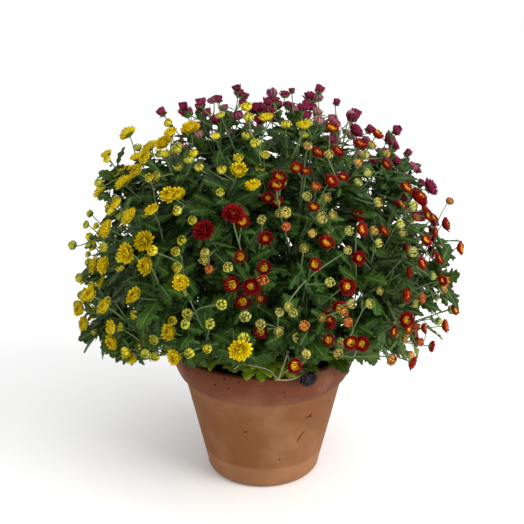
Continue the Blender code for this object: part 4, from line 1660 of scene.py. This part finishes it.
def lay_shoot(bm, blanks, shoot, rng):
    """A young shoot and the leaf that it ends in, which faces up and a little forward."""
    root, bend, tip, leaf_tip, youth = shoot
    course = through(((*root, SOIL_LEVEL / MM - 3), bend, tip))
    lay_twig(bm, blanks["stalk"], course, SHOOT_RADIUS, rng.random())
    along = (Vector(leaf_tip) - Vector(tip)) * MM
    length = along.length
    along.normalize()
    up = Vector((0, -0.3, 1))
    face = (up - along * up.dot(along)).normalized()
    lay_leaf(bm, blanks, Leaf(course(1.0), along, face, length), 0.7, youth, rng)


def outer_radius(height):
    """The pot's outside radius at a height."""
    line = pot_line()
    for (near, low), (far, high) in zip(line, line[1:]):
        if low <= height < high:
            return blend(near, far, (height - low) / (high - low))
    return RIM_RADIUS


def lay_flake(bm, blank, flake, tone):
    """A crumb or rootlet stuck to the pot's outside."""
    turn, height, length, half, lean, bow = flake
    turn, lean = math.radians(turn), math.radians(lean)
    off, thick = FLAKE_STANDS

    def place(x, y, z):
        along = (y - 0.5) * length * MM
        aside = (x * half * math.sqrt(max(0.0, 1 - (2 * y - 1) ** 4)) + bow * 4 * y * (1 - y)) * MM
        across = along * math.cos(lean) - aside * math.sin(lean)
        up = along * math.sin(lean) + aside * math.cos(lean) + height * MM
        radius = outer_radius(up)
        angle = FRONT + turn + across / radius
        radius += off + thick * z
        return Vector((radius * math.cos(angle), radius * math.sin(angle), up))

    lay(bm, blank, place, tone=tone)


def lay_fallen(bm, blank, count, rng):
    """Petals that have dropped onto the soil."""
    for _ in range(count):
        radius = (LIP_INNER_RADIUS - FALLEN_FREE) * math.sqrt(rng.uniform(0.2, 1.0))
        turn = rng.uniform(0, 2 * math.pi)
        x, y = radius * math.cos(turn), radius * math.sin(turn)
        spot = Vector((x, y, soil_height(x, y) + FALLEN_LIES))
        heading = rng.uniform(0, 2 * math.pi)
        along = Vector((math.cos(heading), math.sin(heading), 0.1))
        aside = Vector((-math.sin(heading), math.cos(heading), rng.uniform(-0.4, 0.4)))
        curl = rng.uniform(*FALLEN_CURLS) * MM

        def place(px, py, pz):
            lift = curl * (4 * (py - 0.5) ** 2 + 0.3 * px * px) + PETAL_BODY * pz
            flat = along * ((py - 0.5) * FALLEN_LENGTH)
            flat += aside * (px * FALLEN_HALF_WIDTH * petal_width(py))
            return spot + flat + Vector((0, 0, lift))

        lay(bm, blank, place, tone=rng.random())


class MUM_OT_litter(bpy.types.Operator):
    """Add the young shoots at the lip, a dried stem and a withered head, fallen petals, and
    crumbs on the pot"""

    bl_idname = "mum.litter"
    bl_label = "Shoots and litter"

    def execute(self, context):
        settings = context.scene.mum_plant
        rng = random.Random(SEED)
        blanks = spray_blanks()
        shoots = marked_bmesh()
        for shoot in SHOOTS:
            lay_shoot(shoots, blanks, shoot, rng)
        self.finish("low_shoots", shoots, "red_plant", spray_materials("red", settings))
        dried = marked_bmesh()
        withered = Head(WITHERED_BASE, WITHERED_AXIS, WITHERED_RADIUS, "open")
        course = stalk_course(WITHERED_ROOT, Vector((0, 0, 1)), withered)
        lay_stalk(dried, blanks["stalk"], course, withered, 0.5)
        lay_head(dried, blanks, "purple", withered, 0.3, rng)
        for corners in (DRIED_STEM, *DRIED_BRANCHES):
            lay_twig(dried, blanks["stem"], through(corners), DRIED_RADIUS, 0.9)
        withered_petal = grainy_material(
            "withered petals", linear("#2c2428"), linear("#5e5058"), 400.0, 0.95, 0.8 * MM
        )
        straw = grainy_material(
            "dried stem", linear("#7d7a5c"), linear("#b4b092"), 500.0, 0.85, 0.3 * MM
        )
        looks = [withered_petal, withered_petal, straw, straw]
        self.finish("dried_stem", dried, "red_plant", looks)
        fallen = marked_bmesh()
        lay_fallen(fallen, blanks["open"], FALLEN, rng)
        self.finish("fallen_petals", fallen, "yellow_plant", spray_materials("yellow", settings))
        crumbs = marked_bmesh()
        for flake in FLAKES:
            lay_flake(crumbs, blanks["bud"], flake, rng.random())
        grit = grainy_material(
            "dried crumbs", linear("#180a05"), linear("#3a1e10"), 700.0, 0.9, 0.2 * MM
        )
        self.finish("pot_crumbs", crumbs, "potting_soil", [grit, grit])
        for blank in blanks.values():
            bpy.data.meshes.remove(blank)
        return {"FINISHED"}

    def finish(self, name, bm, slot, materials):
        obj = bpy.data.objects.new(name, bmesh_to_mesh(bm, name))
        add_piece(obj, [], materials)


# The stage: the light's place, aim, size in metres, power in watts and colour, the camera's
# sensor and how far it stands aside, and the floor's half width.


LIGHT_PLACE = (1.9, -1.2, 1.7)
LIGHT_TARGET = (0, 0, 0.28)
LIGHT_SIZE = 1.8
LIGHT_POWER = 60
LIGHT_COLOUR = (1.0, 0.98, 0.95)
SENSOR_WIDTH = 36
CAMERA_ASIDE = -2 * MM
FLOOR_HALF_WIDTH = 20


def add_light(name, place, target, size, power, colour):
    data = bpy.data.lights.new(name, "AREA")
    data.shape = "DISK"
    data.size = size
    data.energy = power
    data.color = colour
    lamp = bpy.data.objects.new(name, data)
    lamp.location = place
    lamp.rotation_euler = (Vector(target) - Vector(place)).to_track_quat("-Z", "Y").to_euler()
    bpy.context.scene.collection.objects.link(lamp)


def add_floor(colour):
    bm = bmesh.new()
    bmesh.ops.create_grid(bm, x_segments=1, y_segments=1, size=FLOOR_HALF_WIDTH)
    mesh = bmesh_to_mesh(bm, "studio_floor")
    floor = bpy.data.objects.new(mesh.name, mesh)
    bpy.context.scene.collection.objects.link(floor)
    made, _, shader = new_material("matte studio floor")
    shader.inputs["Base Color"].default_value = opaque(colour)
    shader.inputs["Roughness"].default_value = 0.9
    mesh.materials.append(made)


class MUM_OT_stage(bpy.types.Operator):
    """Set the pale floor, the soft light and the camera at the photograph's viewpoint"""

    bl_idname = "mum.stage"
    bl_label = "Stage, light and camera"

    def execute(self, context):
        scene = context.scene
        settings = scene.mum_stage
        add_floor(settings.floor)
        world = bpy.data.worlds.new("soft daylight")
        world.use_nodes = True
        sky = world.node_tree.nodes["Background"]
        sky.inputs["Color"].default_value = (1, 1, 1, 1)
        sky.inputs["Strength"].default_value = 1.0
        scene.world = world
        add_light("key softbox", LIGHT_PLACE, LIGHT_TARGET, LIGHT_SIZE, LIGHT_POWER, LIGHT_COLOUR)
        data = bpy.data.cameras.new("camera")
        data.lens = settings.lens
        data.sensor_width = SENSOR_WIDTH
        camera = bpy.data.objects.new("camera", data)
        camera.location = (CAMERA_ASIDE, -settings.distance, settings.height)
        camera.rotation_euler = (math.pi / 2 - settings.pitch, 0, 0)
        scene.collection.objects.link(camera)
        scene.camera = camera
        scene.view_settings.view_transform = "Standard"
        return {"FINISHED"}


class MUM_PT_panel(bpy.types.Panel):
    """The garden mum's pieces"""

    bl_label = "Garden Mum"
    bl_space_type = "VIEW_3D"
    bl_region_type = "UI"
    bl_category = "Garden Mum"

    def draw(self, context):
        scene = context.scene
        for group in (scene.mum_plant, scene.mum_pot, scene.mum_stage):
            box = self.layout.box()
            for name in group.__annotations__:
                box.prop(group, name)
        self.layout.operator("mum.pot")
        self.layout.operator("mum.soil")
        for plant in PLANTS:
            self.layout.operator("mum.sprays", text=f"Sprays: {plant}").plant = plant
        self.layout.operator("mum.litter")
        self.layout.operator("mum.stage")


CLASSES = (
    MumPlantSettings,
    MumPotSettings,
    MumStageSettings,
    MUM_OT_pot,
    MUM_OT_soil,
    MUM_OT_sprays,
    MUM_OT_litter,
    MUM_OT_stage,
    MUM_PT_panel,
)


def register():
    for made in CLASSES:
        bpy.utils.register_class(made)
    bpy.types.Scene.mum_plant = bpy.props.PointerProperty(type=MumPlantSettings)
    bpy.types.Scene.mum_pot = bpy.props.PointerProperty(type=MumPotSettings)
    bpy.types.Scene.mum_stage = bpy.props.PointerProperty(type=MumStageSettings)


def unregister():
    del bpy.types.Scene.mum_stage
    del bpy.types.Scene.mum_pot
    del bpy.types.Scene.mum_plant
    for made in reversed(CLASSES):
        bpy.utils.unregister_class(made)


def main():
    register()
    bpy.ops.mum.pot()
    bpy.ops.mum.soil()
    for plant in PLANTS:
        bpy.ops.mum.sprays(plant=plant)
    bpy.ops.mum.litter()
    bpy.ops.mum.stage()


if __name__ == "__main__":
    main()
